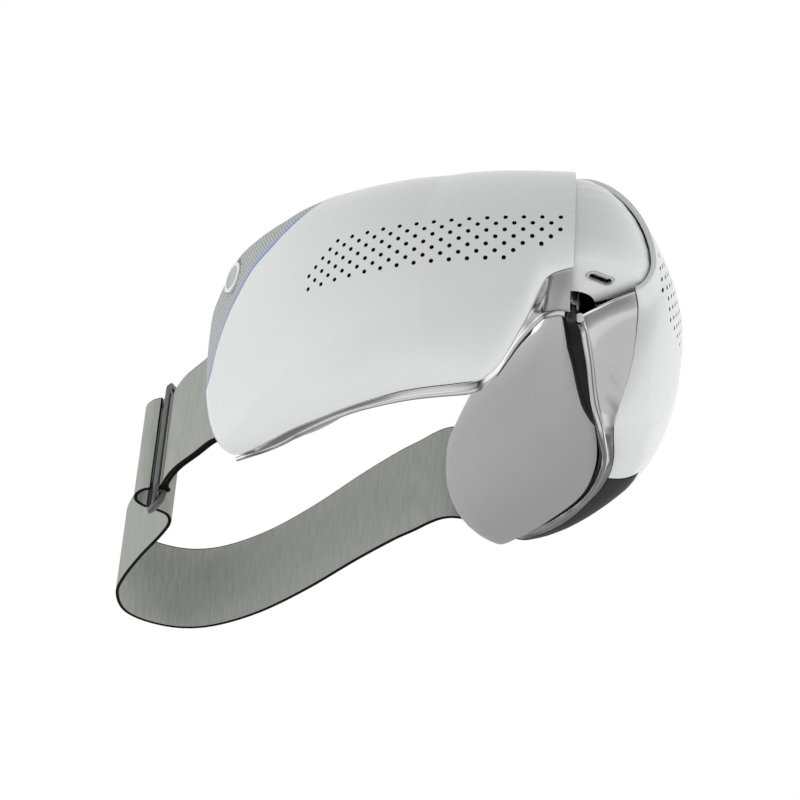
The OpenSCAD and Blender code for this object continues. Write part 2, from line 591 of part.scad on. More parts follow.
module left_hose() { color("black") half(1) hose(76); }
module left_hinge_arm() { color("black") hinge_arm(1); }
module left_strap_anchor() { color("black") anchor(1); }
module left_screws() { color("silver") screws(1); }
module button_ring() { color("white") button_ring_form(); }
module power_button() { color("gainsboro") power_button_form(); }
module button_switch() { color("black") button_switch_form(); }
module main_board() { color("green") half(-1) on_arc(92, 12.5, 0) main_board_form(); }
module air_pump() { color("gray") half(-1) on_arc(128, 12.4, -14) pump(); }
module air_valve() {
  color("black") half(-1) on_arc(130, 10, 8) translate([-7, -4, -5]) cube([14, 8, 10]);
}
module left_battery_cover() { color("black") battery_cover(); }
module battery() { color("silver") half(1) on_arc(112, 13, -4) battery_form(); }
module battery_board() {
  color("green") half(1) on_arc(112, 13, 18) translate([-15, -0.6, -4]) cube([30, 1.2, 8]);
}
module spine_cover() { color("white") spine_cover_form(); }
module hinge_pin() { color("black") hinge_pin_form(); }
module usb_socket() { color("silver") usb_socket_form(); }
module socket_ring() { color("silver") socket_ring_form(); }
module port_board() { color("green") port_board_form(); }
module flex_cable() { color("orange") flex_cable_form(); }
module strap_short() { color("darkgray") strap_short_form(); }
module strap_long() { color("darkgray") strap_long_form(); }
module buckle() { color("dimgray") buckle_form(); }

right_shell();
right_nose_wall();
right_frame();
right_trim_ring();
right_cushion();
right_airbag();
right_heat_plate();
right_motor();
right_speaker();
right_side_panel();
right_light_strip();
right_hose();
right_hinge_arm();
right_strap_anchor();
right_screws();
left_shell();
left_nose_wall();
left_frame();
left_trim_ring();
left_cushion();
left_airbag();
left_heat_plate();
left_motor();
left_speaker();
left_side_panel();
left_light_strip();
left_hose();
left_hinge_arm();
left_strap_anchor();
left_screws();
button_ring();
power_button();
button_switch();
main_board();
air_pump();
air_valve();
left_battery_cover();
battery();
battery_board();
spine_cover();
hinge_pin();
usb_socket();
socket_ring();
port_board();
flex_cable();
strap_short();
strap_long();
buckle();
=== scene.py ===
import bpy, bmesh, json, math
import numpy as np
from mathutils import Matrix, Vector
from mathutils.geometry import delaunay_2d_cdt

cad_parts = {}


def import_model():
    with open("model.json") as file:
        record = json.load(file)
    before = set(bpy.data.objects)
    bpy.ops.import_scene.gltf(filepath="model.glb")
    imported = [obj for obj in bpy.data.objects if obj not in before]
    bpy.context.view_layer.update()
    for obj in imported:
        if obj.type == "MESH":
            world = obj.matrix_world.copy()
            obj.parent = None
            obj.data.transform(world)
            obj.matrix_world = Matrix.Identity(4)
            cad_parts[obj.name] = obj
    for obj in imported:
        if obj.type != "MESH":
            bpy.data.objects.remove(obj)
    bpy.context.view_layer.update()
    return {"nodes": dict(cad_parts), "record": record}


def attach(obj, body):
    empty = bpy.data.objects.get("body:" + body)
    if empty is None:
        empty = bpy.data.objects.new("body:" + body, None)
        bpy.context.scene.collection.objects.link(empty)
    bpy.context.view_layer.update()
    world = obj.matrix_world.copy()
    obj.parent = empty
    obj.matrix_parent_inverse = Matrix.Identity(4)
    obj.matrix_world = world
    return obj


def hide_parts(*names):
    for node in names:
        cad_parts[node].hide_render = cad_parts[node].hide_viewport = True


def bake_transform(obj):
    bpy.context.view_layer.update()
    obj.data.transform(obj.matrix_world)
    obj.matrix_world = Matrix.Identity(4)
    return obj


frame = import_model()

nodes = frame["nodes"]
sin, cos, pi = np.sin, np.cos, math.pi

# Shape of a half, in mm: s along its arc, d inwards, z up, as the CAD source has it
FOLD = math.radians(34.3)
HALF_ARC, NOSE_R, WALL, TIP_R, SEAM = 176.0, 29.1, 1.9, 11.0, 0.2
LIGHT_W = 0.9
TOP_D = [(0, 28.6), (45, 29.7), (90, 35.4), (120, 24.2), (150, 24.3), (175, 15)]
TOP_Z = [(0, 40.3), (45, 42.6), (90, 43.4), (120, 38.9), (150, 36.9), (175, 11.5)]
TOP_P = [(0, 1.71), (50, 1.54), (92, 2.24), (106, 2.6), (122, 3.2), (150, 5)]
LOW_D = [(0, 7), (8, 8.4), (16, 12.1), (26, 19), (35, 22), (50, 23.2), (80, 22.6), (105, 21.6),
         (130, 18.2), (151, 16.3), (175, 15.5)]
LOW_Z = [(0, -7.3), (8, -9.9), (16, -24.9), (26, -37.6), (34, -41.2), (50, -41.3), (64, -41.6),
         (80, -42.6), (115, -43.6), (135, -43.7), (151, -42.8), (175, -38.7)]
LOW_P = [(0, 1.84), (10, 1.64), (32, 1.9), (50, 2.3), (100, 2.45), (176, 2.3)]
LIP_D = [(0, 26.5), (10, 28), (24, 28), (34, 26.5), (45, 26.6), (60, 26.3), (80, 25.9), (107, 24),
         (141, 21.4), (170, 19), (184, 18.4)]
LIP_Z = [(0, -14), (5, -12.8), (10, -13.5), (15, -17.5), (20, -23), (25, -30.2), (30, -37.6),
         (35, -41.4), (40, -42.4), (60, -42.6), (90, -43.1), (115, -43.8), (135, -43.7), (150, -42.5),
         (165, -40), (184, -36.5)]
SEAT_W = [(0, 7.5), (12, 6.5), (22, 4.7), (32, 3), (40, 0.9), (184, 0.6)]
SEAT_CUT = [(0, 0.15), (24, 0.2), (42, 1), (140, 1), (158, 0.3), (184, 0.3)]
LINE_Z = [(88, 44), (94, 41), (100, 34.5), (107, 27), (115, 22), (123, 19), (133, 16.2), (142, 11),
          (149, 6.3), (157, -3), (163, -13.5), (170, -21)]
COVER_Z = [(82, -39), (150, -39), (176, -35.5)]
CROWN = [(8, 38), (30, 40.5), (60, 44), (90, 47.5), (120, 50.5), (150, 52), (182, 52)]
PAD_GAP = {-1: [(0, 4), (16, 4.2), (30, 2.8), (40, 2.4), (60, 2.8), (100, 4.8), (140, 7), (184, 7.5)],
           1: [(0, 4), (16, 4.2), (30, 2.6), (40, 0.9), (60, 0.5), (130, -0.4), (155, -2.4), (184, -6.5)]}
BEND = [(0, 0.18), (60, 0.52), (100, 0.6), (130, 0.19), (160, 0), (200, 0)]


def lookup(table, x):
    t = np.array(table, float)
    return np.interp(x, t[:, 0], t[:, 1])


def curve(table, x):
    """Smooth monotone curve through a short table."""
    t = np.array(table, float)
    X, Y = t[:, 0], t[:, 1]
    sec_ = np.diff(Y) / np.diff(X)
    m = np.zeros(len(X))
    m[0], m[-1] = sec_[0], sec_[-1]
    a, b = sec_[:-1], sec_[1:]
    with np.errstate(divide="ignore", invalid="ignore"):
        m[1:-1] = np.where(a * b <= 0, 0, 2 * a * b / (a + b))
    x = np.clip(np.asarray(x, float), X[0], X[-1])
    i = np.clip(np.searchsorted(X, x, side="right") - 1, 0, len(X) - 2)
    w = X[i + 1] - X[i]
    t = (x - X[i]) / w
    return (Y[i] * (1 - t) ** 2 * (1 + 2 * t) + Y[i + 1] * t * t * (3 - 2 * t)
            + w * t * (1 - t) * (m[i] * (1 - t) - m[i + 1] * t))


# the CAD source advances the heading before the position
_x, _y, _h, ARC = 0.0, -NOSE_R, 0.0, []
for _i in range(192):
    ARC.append((_x, _y, math.radians(_h)))
    _h += float(lookup(BEND, _i + 0.5))
    _x += math.cos(math.radians(_h))
    _y += math.sin(math.radians(_h))
ARC = np.array(ARC)


def pt(s, d, z):
    s, d, z = np.broadcast_arrays(np.asarray(s, float), d, z)
    c = np.clip(s, 0, 189.99)
    k = np.arange(len(ARC))
    a = [np.interp(c, k, ARC[:, j]) for j in range(3)]
    return np.stack([a[0] - sin(a[2]) * d, a[1] + cos(a[2]) * d, z], -1)


def world(p, side):
    """Half coordinates to the row frame, in metres."""
    c, v = math.cos(FOLD), math.sin(FOLD)
    return np.stack([(p[..., 0] * c - p[..., 1] * v) * side, p[..., 0] * v + p[..., 1] * c, p[..., 2]], -1) / 1000


def mid_z(s):
    return 2.2 + 0.0166 * s


def up(a, p):
    return np.maximum(a, 0) ** (2 / p)


def sec(s, q, g=0.0):
    """Shell section: depth and height for the angle q in degrees, g inside the outer face."""
    s, q, g = np.broadcast_arrays(np.asarray(s, float), q, g)
    m, r = mid_z(s), np.radians(q)
    c, v = np.maximum(cos(r), 0), np.abs(sin(r))
    p1, e1 = lookup(TOP_P, s), curve(TOP_D, s)
    p2, e2 = lookup(LOW_P, s), np.maximum(curve(LOW_D, s), g + 0.5)
    d = np.where(q >= 0, e1 - (e1 - g) * up(c, p1), e2 - (e2 - g) * up(c, p2))
    z = np.where(q >= 0, m + (curve(TOP_Z, s) - m - g) * up(v, p1),
                 m - (m - curve(LOW_Z, s) - g) * up(v, p2))
    return d, z


def angle_of(s, z):
    s, z = np.broadcast_arrays(np.asarray(s, float), z)
    m = mid_z(s)
    a = np.clip((z - m) / (curve(TOP_Z, s) - m), 0, 1)
    b = np.clip((m - z) / (m - curve(LOW_Z, s)), 0, 1)
    return np.where(z >= m, np.degrees(np.arcsin(a ** (lookup(TOP_P, s) / 2))),
                    -np.degrees(np.arcsin(b ** (lookup(LOW_P, s) / 2))))


def lip_r(s):
    return 1.6 + (0.9 - 1.6) * np.minimum(1, np.asarray(s, float) / 90)


# Meshes

def new_mesh(name, verts, faces, shaded=True, angle=40):
    me = bpy.data.meshes.new(name)
    me.from_pydata([tuple(v) for v in verts], [], [tuple(int(i) for i in f) for f in faces])
    me.update()
    ob = bpy.data.objects.new(name, me)
    bpy.context.scene.collection.objects.link(ob)
    if shaded:
        me.shade_smooth()
        me.set_sharp_from_angle(angle=math.radians(angle))
    return ob


def smooth(ob, angle):
    ob.data.shade_smooth()
    ob.data.set_sharp_from_angle(angle=math.radians(angle))


def recalc(ob):
    bm = bmesh.new()
    bm.from_mesh(ob.data)
    bmesh.ops.recalc_face_normals(bm, faces=bm.faces)
    bm.to_mesh(ob.data)
    bm.free()


def grid_faces(m, n, o=0, wrap=False, flip=False):
    out = []
    for i in range(m - 1):
        for j in range(n if wrap else n - 1):
            a, b = o + i * n + j, o + i * n + (j + 1) % n
            f = (a, b, b + n, a + n)
            out.append(f[::-1] if flip else f)
    return out


def tidy(ob, dist=1e-6, normals=True, angle=40):
    bm = bmesh.new()
    bm.from_mesh(ob.data)
    bmesh.ops.remove_doubles(bm, verts=bm.verts, dist=dist)
    if normals:
        bmesh.ops.recalc_face_normals(bm, faces=bm.faces)
    bm.to_mesh(ob.data)
    bm.free()
    smooth(ob, angle)
    return ob


def bevel_marked(ob, width, edges, segments=3):
    """Rounds the marked edges; the result is applied to the mesh."""
    me = ob.data
    at = me.attributes.new("bevel_weight_edge", "FLOAT", "EDGE")
    w = np.zeros(len(me.edges), np.float32)
    w[edges] = 1
    at.data.foreach_set("value", w)
    m = ob.modifiers.new("round", "BEVEL")
    m.limit_method, m.width, m.segments, m.profile = "WEIGHT", width, segments, 0.5
    m.use_clamp_overlap = True
    apply(ob)
    smooth(ob, 40)


def apply(ob):
    dg = bpy.context.evaluated_depsgraph_get()
    me = bpy.data.meshes.new_from_object(ob.evaluated_get(dg), depsgraph=dg)
    ob.modifiers.clear()
    ob.data = me


def lengths(g):
    """Millimetres along and across a grid of points in metres."""
    m, n = g.shape[:2]
    u = np.concatenate([[0], np.cumsum(np.linalg.norm(np.diff(g[:, n // 2], axis=0), axis=1))]) * 1000
    across = np.cumsum(np.linalg.norm(np.diff(g, axis=1), axis=2), axis=1)
    w = np.concatenate([np.zeros((m, 1)), across], 1) * 1000
    return np.stack([np.repeat(u[:, None], n, 1), w, np.zeros((m, n))], -1).reshape(-1, 3)


def mark(ob, values, times=1):
    """Keeps lengths on the mesh for the materials."""
    at = ob.data.attributes.new("along", "FLOAT_VECTOR", "POINT")
    at.data.foreach_set("vector", np.tile(values, (times, 1)).astype(np.float32).ravel())


def solid(name, outer, inner, round_mm=0.25, keep_inner=None, values=None):
    """Closed sheet between two equal grids with rounded rims.

    keep_inner cuts the hidden middle of the inner face.
    """
    m, n = outer.shape[:2]
    v = np.concatenate([outer.reshape(-1, 3), inner.reshape(-1, 3)])
    f = grid_faces(m, n)
    for i in range(m - 1):
        for j in range(n - 1):
            if (keep_inner and keep_inner <= i < m - 1 - keep_inner
                    and keep_inner <= j < n - 1 - keep_inner):
                continue
            a = m * n + i * n + j
            f.append((a, a + n, a + n + 1, a + 1))
    ring = (list(range(n)) + [i * n + n - 1 for i in range(1, m)]
            + [(m - 1) * n + j for j in range(n - 2, -1, -1)] + [i * n for i in range(m - 2, 0, -1)])
    for k, a in enumerate(ring):
        b = ring[(k + 1) % len(ring)]
        f.append((a, a + m * n, b + m * n, b))
    ob = new_mesh(name, v, f)
    mark(ob, lengths(outer) if values is None else values, 2)
    recalc(ob)
    if round_mm:
        # the edges between neighbours of the ring, on either face
        half, on = m * n, []
        after = {a: ring[(k + 1) % len(ring)] for k, a in enumerate(ring)}
        for e in ob.data.edges:
            a, b = e.vertices
            same_face = (a < half) == (b < half)
            a, b = a % half, b % half
            if same_face and a in after and b in after and (after[a] == b or after[b] == a):
                on.append(e.index)
        bevel_marked(ob, round_mm / 1000, on)
    return ob


# Shell pieces

def rows(s, a, b, g, n):
    """n+1 points of a section between the angles a and b, evenly spaced along it."""
    q = np.linspace(a, b, 361)
    d, z = sec(s, q, g)
    l = np.concatenate([[0], np.cumsum(np.hypot(np.diff(d), np.diff(z)))])
    qq = np.interp(np.linspace(0, l[-1], n + 1), l, q)
    return qq, (l, q)


def station_list(s_list, tip_n=12):
    """(s, extra inset, share of the tip) along a piece: straight stations and the rounded temple end."""
    out = [(s, 0.0, 0.0) for s in s_list]
    for a in np.radians(np.linspace(0, 72, tip_n)):
        out.append((None, float(a), float(math.sin(a))))
    return out


def shell_grid(stations, lo, hi, g, n):
    """lo and hi are functions of s. The tip rounds as in the CAD source."""
    out = []
    s0 = HALF_ARC - TIP_R
    for s, a, v in stations:
        if s is None:
            r = TIP_R - g
            ss, e = s0 + r * math.sin(a), r * (1 - math.cos(a))
            l = lo(s0) + (lo(HALF_ARC) - lo(s0)) * v
            h = hi(s0) + (hi(HALF_ARC) - hi(s0)) * v
        else:
            ss, e, l, h = s, 0.0, lo(s), hi(s)
        qa, qb = float(angle_of(ss, l)), float(angle_of(ss, h))
        qq, _ = rows(ss, qa, qb, g + e, n)
        d, z = sec(ss, qq, g + e)
        out.append(pt(ss, d, z))
    return np.array(out)


def f_low(s): return float(curve(LOW_Z, s))
def f_top(s): return float(curve(TOP_Z, s))
def f_line(s): return float(curve(LINE_Z, s))


HOLE_R, HOLE_COL, HOLE_ROW, HOLE_START = 0.75, 3.0, 2.48, 4.8
HOLE_EASE, HOLE_CLEAR, HOLE_SIDES = 0.1, 1.25, 24
# where the left half's dark cover takes over the lower edge, and where the cover itself begins
COVER_STEP, COVER_FROM = 82.3, 83.2


def hole_rows(c):
    odd = c % 2
    if c < 4:
        return [2, 4] if odd else ([1, 3] if c == 0 else [1, 3, 5])
    return {4: [1, 3, 5], 28: [3, 5, 7], 29: [4, 6], 30: [5, 7]}.get(c, [2, 4, 6] if odd else [1, 3, 5, 7])


HOLES = [(HOLE_START + HOLE_COL * c, -(r - 4) * HOLE_ROW) for c in range(31) for r in hole_rows(c)]


def shell(side, name):
    body = "right_half" if side < 0 else "left_half"
    low = f_low if side < 0 else (lambda s: f_low(s) if s <= COVER_STEP else float(curve(COVER_Z, s)))
    high = lambda s: min(f_top(s), f_line(s) - SEAM) if s > 86 else f_top(s)
    ss = np.concatenate([[SEAM], np.arange(1.4, 82, 1.25), [COVER_STEP - 0.1, COVER_STEP + 0.1],
                         np.arange(83.4, HALF_ARC - TIP_R - 0.6, 1.25)])
    ss = sorted(set(np.round(ss, 3)))
    st, n = station_list(ss, 14), 76
    P = shell_grid(st, low, high, 0.0, n)
    Q = shell_grid(st, low, high, WALL, n)
    # rectangle of the grid that carries the holes
    i0, i1 = 1, int(np.searchsorted(ss, 102))

    def v_of(s, z):
        qa, qb = float(angle_of(s, low(s))), float(angle_of(s, high(s)))
        l, q = rows(s, qa, qb, 0.0, n)[1]
        return float(np.interp(float(angle_of(s, z)), q, l)) / l[-1] * n

    zz = [(v_of(s, z), np.interp(s, ss, range(len(ss)))) for s, z in HOLES]
    j0, j1 = int(min(v for v, _ in zz)) - 3, int(max(v for v, _ in zz)) + 4
    gz = P[..., 2]
    pts2, pts3, ids = [], [], {}
    hs = np.array(HOLES)
    for i in range(i0, i1 + 1):
        for j in range(j0, j1 + 1):
            edge = i in (i0, i1) or j in (j0, j1)
            near = np.hypot(hs[:, 0] - ss[i], hs[:, 1] - gz[i, j]).min() < HOLE_CLEAR
            if edge or not near:
                ids[(i, j)] = len(pts2)
                pts2.append((i * 1.0, j * 1.0))
                pts3.append(P[i, j])
    edges = []
    for i in range(i0, i1):
        edges += [(ids[(i, j0)], ids[(i + 1, j0)]), (ids[(i, j1)], ids[(i + 1, j1)])]
    for j in range(j0, j1):
        edges += [(ids[(i0, j)], ids[(i0, j + 1)]), (ids[(i1, j)], ids[(i1, j + 1)])]
    k, rings = HOLE_SIDES, []
    for s0, z0 in HOLES:
        ring = []
        for t in np.arange(k) * 2 * pi / k:
            s, z = s0 + (HOLE_R + HOLE_EASE) * cos(t), z0 + (HOLE_R + HOLE_EASE) * sin(t)
            ring.append(len(pts2))
            pts2.append((float(np.interp(s, ss, range(len(ss)))), v_of(s, z)))
            pts3.append(pt(s, sec(s, float(angle_of(s, z)))[0], z))
        rings.append(ring)
        edges += [(ring[a], ring[(a + 1) % k]) for a in range(k)]
    out = delaunay_2d_cdt([Vector(p) for p in pts2], edges, [], 0, 1e-7)
    of_ring = {a: k_ for k_, r in enumerate(rings) for a in r}
    origin = [o[0] if o else None for o in out[3]]
    tris = []
    for f in out[2]:
        if any(origin[a] is None for a in f):
            continue
        c = np.mean([out[0][a] for a in f], 0)
        on = {of_ring.get(origin[a]) for a in f}
        if len(on) == 1 and None not in on:
            continue
        if not (i0 <= c[0] <= i1 and j0 <= c[1] <= j1):
            continue
        tris.append([origin[a] for a in f])
    # the sheet with rounded rims, its inner face only near them
    ob = solid_with_gap(name, world(P, side), world(Q, side), (i0, i1, j0, j1), 0.3)
    v, f, dark = [world(p, side) for p in pts3], [tuple(t) for t in tris], []
    # the hole walls below the eased rim and the cap at each hole's bottom go to the second material, black: painted
    # shade inside the holes
    for (s0, z0), ring in zip(HOLES, rings):
        layers = [ring]
        for dd, r in ((HOLE_EASE, HOLE_R), (WALL, HOLE_R)):
            layer = []
            for t in np.arange(k) * 2 * pi / k:
                s, z = s0 + r * cos(t), z0 + r * sin(t)
                d = float(sec(s, float(angle_of(s, z)))[0])
                layer.append(len(v))
                v.append(world(pt(s, d + dd, z), side))
            layers.append(layer)
        for a, b in zip(layers, layers[1:]):
            dark += [len(f) + t for t in range(k)] if a is not ring else []
            f += [(a[t], b[t], b[(t + 1) % k], a[(t + 1) % k]) for t in range(k)]
        dark.append(len(f))
        f.append(tuple(layers[-1]))
    part = new_mesh(name + "_holes", v, f)
    kind = np.zeros(len(part.data.polygons), np.int32)
    kind[dark] = 1
    part.data.polygons.foreach_set("material_index", kind)
    join(ob, part)
    tidy(ob, 2e-6, normals=False, angle=38)
    outward(ob, world(pt(95, 60, 0), side))
    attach(ob, body)
    return ob


def join(ob, other):
    bm = bmesh.new()
    bm.from_mesh(ob.data)
    bm.from_mesh(other.data)
    bm.to_mesh(ob.data)
    bm.free()
    bpy.data.objects.remove(other)


def outward(ob, centre):
    """Consistent normals, pointing away from a point inside."""
    bm = bmesh.new()
    bm.from_mesh(ob.data)
    bmesh.ops.recalc_face_normals(bm, faces=bm.faces)
    c = Vector(centre)
    if sum((f.calc_center_median() - c).dot(f.normal) * f.calc_area() for f in bm.faces) < 0:
        bmesh.ops.reverse_faces(bm, faces=bm.faces)
    bm.to_mesh(ob.data)
    bm.free()
    smooth(ob, 38)


def solid_with_gap(name, outer, inner, gap, round_mm):
    ob = solid(name, outer, inner, round_mm=None, keep_inner=5)
    m, n = outer.shape[:2]
    i0, i1, j0, j1 = gap
    bm = bmesh.new()
    bm.from_mesh(ob.data)
    bm.verts.ensure_lookup_table()
    inside = set(i * n + j for i in range(i0, i1 + 1) for j in range(j0, j1 + 1))
    dead = [f for f in bm.faces if all(x.index in inside for x in f.verts)]
    bmesh.ops.delete(bm, geom=dead, context="FACES")
    bm.to_mesh(ob.data)
    bm.free()
    ring = set([(i, j) for i in (0, m - 1) for j in range(n)] + [(i, j) for i in range(m) for j in (0, n - 1)])
    co = {}
    for g, o in ((outer, 0), (inner, 1)):
        for (i, j) in ring:
            co[tuple(np.round(g[i, j], 7))] = (o, i, j)
    keys = [co.get(tuple(np.round(np.array(x.co), 7))) for x in ob.data.vertices]
    on = []
    for e in ob.data.edges:
        a, b = keys[e.vertices[0]], keys[e.vertices[1]]
        if not (a and b and a[0] == b[0] and abs(a[1] - b[1]) + abs(a[2] - b[2]) == 1):
            continue
        if a[1] == b[1] in (0, m - 1) or a[2] == b[2] in (0, n - 1):
            on.append(e.index)
    bevel_marked(ob, round_mm / 1000, on)
    return ob


def sheet_piece(side, name, s_list, lo, hi, g0, g1, n, round_mm=0.25):
    st = station_list(s_list, 12)
    G = shell_grid(st, lo, hi, g0, n)
    s_at = [HALF_ARC - TIP_R + TIP_R * math.sin(a) if s is None else s for s, a, _ in st]
    along = np.repeat(np.array(s_at)[:, None], n + 1, 1)
    on = np.stack([along, G[..., 2], np.zeros(G.shape[:2])], -1).reshape(-1, 3)
    ob = solid(name, world(G, side), world(shell_grid(st, lo, hi, g1, n), side), round_mm, values=on)
    outward(ob, world(pt(140, 30, 0), side))
    return ob


# Nose rim

def lip_tube(side, name, k=20):
    ss = np.concatenate([np.arange(2, 60, 1.0), np.arange(60, 173.1, 1.5)])
    c = pt(ss, curve(LIP_D, ss), curve(LIP_Z, ss))
    t = np.gradient(c, axis=0)
    t /= np.linalg.norm(t, axis=1)[:, None]
    z = np.array([0, 0, 1.0])
    a = np.cross(t, z)
    a /= np.linalg.norm(a, axis=1)[:, None]
    b = np.cross(a, t)
    r = lip_r(ss)
    v = []
    for i in range(len(ss)):
        for q in np.arange(k) * 2 * pi / k:
            v.append(c[i] + r[i] * (a[i] * cos(q) + b[i] * sin(q)))
    f = grid_faces(len(ss), k, wrap=True)
    f += [tuple(range(k))[::-1], tuple((len(ss) - 1) * k + j for j in range(k))]
    ob = new_mesh(name, world(np.array(v), side), f)
    outward(ob, world(np.mean(c, 0), side))
    return tidy(ob)


def nose_wall(side, name):
    ss = np.concatenate([np.arange(0.8, 60, 0.8), np.arange(60, 165.1, 1.5)])
    e = 14
    lines = []
    for s in ss:
        c = np.array(sec(s, -90, 0))
        r = float(lip_r(s))
        l = np.array([float(curve(LIP_D, s)) - r * 0.9, float(curve(LIP_Z, s)) - 0.2 * r])
        a = c + np.array([0.3, -0.1])
        u = np.linspace(0, 1, e + 1)
        p = a + (l - a) * u[:, None]
        # a soft hollow with one crease, as pressed sheet has
        p[:, 1] += min(0.5, 0.05 * float(np.linalg.norm(l - a))) * sin(pi * u)
        lines.append(pt(s, p[:, 0], p[:, 1]))
    G = np.array(lines)
    n = np.cross(np.gradient(G, axis=0), np.gradient(G, axis=1))
    n /= np.linalg.norm(n, axis=2)[..., None]
    ob = solid(name, world(G, side), world(G + n * 1.0, side), 0.2)
    outward(ob, world(pt(25, 20, 10), side))
    return ob


# Inner frame and cushion

def frame_rim(s):
    s = np.asarray(s)
    over_shell = np.where(s > 40, -60, curve(LOW_Z, np.maximum(0, s - 3)) + 2.6)
    return curve(LIP_D, s) + lip_r(s) + curve(SEAT_W, s), np.maximum(curve(LIP_Z, s) + 1.6, over_shell)


def frame_top(s):
    return np.maximum(curve(TOP_D, s) + 0.8, np.where(np.asarray(s) > 150, 22.8, 0)), curve(TOP_Z, s) - 2.8


PAD_FROM, PAD_TO, FRAME_TO, SEAT_DEPTH = 9.0, 182.0, 178.0, 4.5


def pad_mid(s):
    return (frame_rim(s)[1] + frame_top(s)[1]) / 2 - 1


def end_fade(s, to):
    return np.where(s < to - 20, 1, np.maximum(1 - (np.maximum(s - to + 20, 0) / 20) ** 3, 0) ** 0.333)


def frame_face(side, name):
    ss = np.concatenate([np.arange(9, 160, 1.5), np.arange(160, 174, 1.0), np.arange(174, 177.9, 0.4),
                         [FRAME_TO]])
    out = []
    for s in ss:
        a, b = frame_rim(s), frame_top(s)
        q = np.linspace(-90, 90, 41)
        t = (sin(np.radians(q)) + 1) / 2
        d = a[0] + (b[0] - a[0]) * t - SEAT_DEPTH * curve(SEAT_CUT, s) * up(np.maximum(cos(np.radians(q)), 0), 5)
        z = a[1] + (b[1] - a[1]) * t
        d = np.concatenate([[curve(LIP_D, s) + lip_r(s) + 0.1], d])
        z = np.concatenate([[curve(LIP_Z, s) + 1.1], z])
        z = pad_mid(s) + (z - pad_mid(s)) * end_fade(s, FRAME_TO + 0.6)
        out.append(pt(s, d, z))
    G = np.array(out)
    n = np.cross(np.gradient(G, axis=0), np.gradient(G, axis=1))
    n /= np.linalg.norm(n, axis=2)[..., None]
    ob = solid(name, world(G, side), world(G + n * 1.0, side), 0.2)
    outward(ob, world(pt(90, 5, 0), side))
    return ob


def pad_base(s, z):
    a, b = frame_rim(s), frame_top(s)
    return a[0] + (b[0] - a[0]) * np.clip((z - a[1]) / (b[1] - a[1]), 0, 1) - 0.1


PAD_KL, PAD_KU, PAD_END = 1.02, 1.0, 0.42


def cushion(side, name):
    nb = 96
    th = np.linspace(0, 360, 2 * nb, endpoint=False)
    a = np.where(th > 180, 360 - th, th)
    s = PAD_FROM + (PAD_TO - PAD_FROM) * (1 - cos(np.radians(a))) / 2
    e = np.where(a < 90, np.maximum(sin(np.radians(a)), 0) ** 0.62, end_fade(s, PAD_TO + 0.1))
    m = pad_mid(s)
    lowz, upz = curve(LIP_Z, s) + curve(PAD_GAP[side], s), frame_top(s)[1] - 3
    oz = np.where(th > 180, m - (m - lowz) * e, m + (upz - m) * e)
    al = np.concatenate([[-28, -14, -5], np.linspace(0, 30, 13), np.linspace(33, 89.5, 26)])
    v = []
    st = np.clip(s, PAD_FROM + 30, PAD_TO - 40)
    k = np.where(oz < m, PAD_KL, PAD_KU)
    for q in al:
        c, si = math.cos(math.radians(q)), math.sin(math.radians(q))
        s1 = st + (s - st) * c ** PAD_END
        z = pad_mid(s1) + (oz - m) * c ** k
        d = pad_base(s1, z)
        h = 0.04 * si if q < 0 else max(si, 0) ** k
        v.append(pt(s1, d + 0.9 + h * (curve(CROWN, s1) - d - 0.9), z))
    V = np.array(v)
    n = 2 * nb
    f = grid_faces(len(al), n, wrap=True)
    for o in (0, (len(al) - 1) * n):
        for i in range(nb):
            x, y, w, u = o + i, o + (n - i) % n, o + i + 1, o + n - i - 1
            f.append((x, w, u) if i == 0 else (x, w, y) if i == nb - 1 else (x, w, u, y))
    ob = new_mesh(name, world(V.reshape(-1, 3), side), f)
    outward(ob, world(pt(95, 36, 0), side))
    return ob


# Straps

def through(p, n):
    """Smooth line through points seen from above, as the CAD source draws it."""
    p = np.array(p, float)
    m, out = len(p), []
    for i in range(m - 1):
        a, b, c, e = p[max(i - 1, 0)], p[i], p[i + 1], p[min(i + 2, m - 1)]
        for t in np.arange(n) / n:
            out.append(0.5 * (2 * b + (c - a) * t + (2 * a - 5 * b + 4 * c - e) * t * t
                              + (3 * b - a - 3 * c + e) * t ** 3))
    return np.array(out + [p[-1]])


def even(q, step):
    l = np.concatenate([[0], np.cumsum(np.linalg.norm(np.diff(q, axis=0), axis=1))])
    u = np.linspace(0, l[-1], int(l[-1] / step) + 1)
    return np.stack([np.interp(u, l, q[:, 0]), np.interp(u, l, q[:, 1])], 1), u


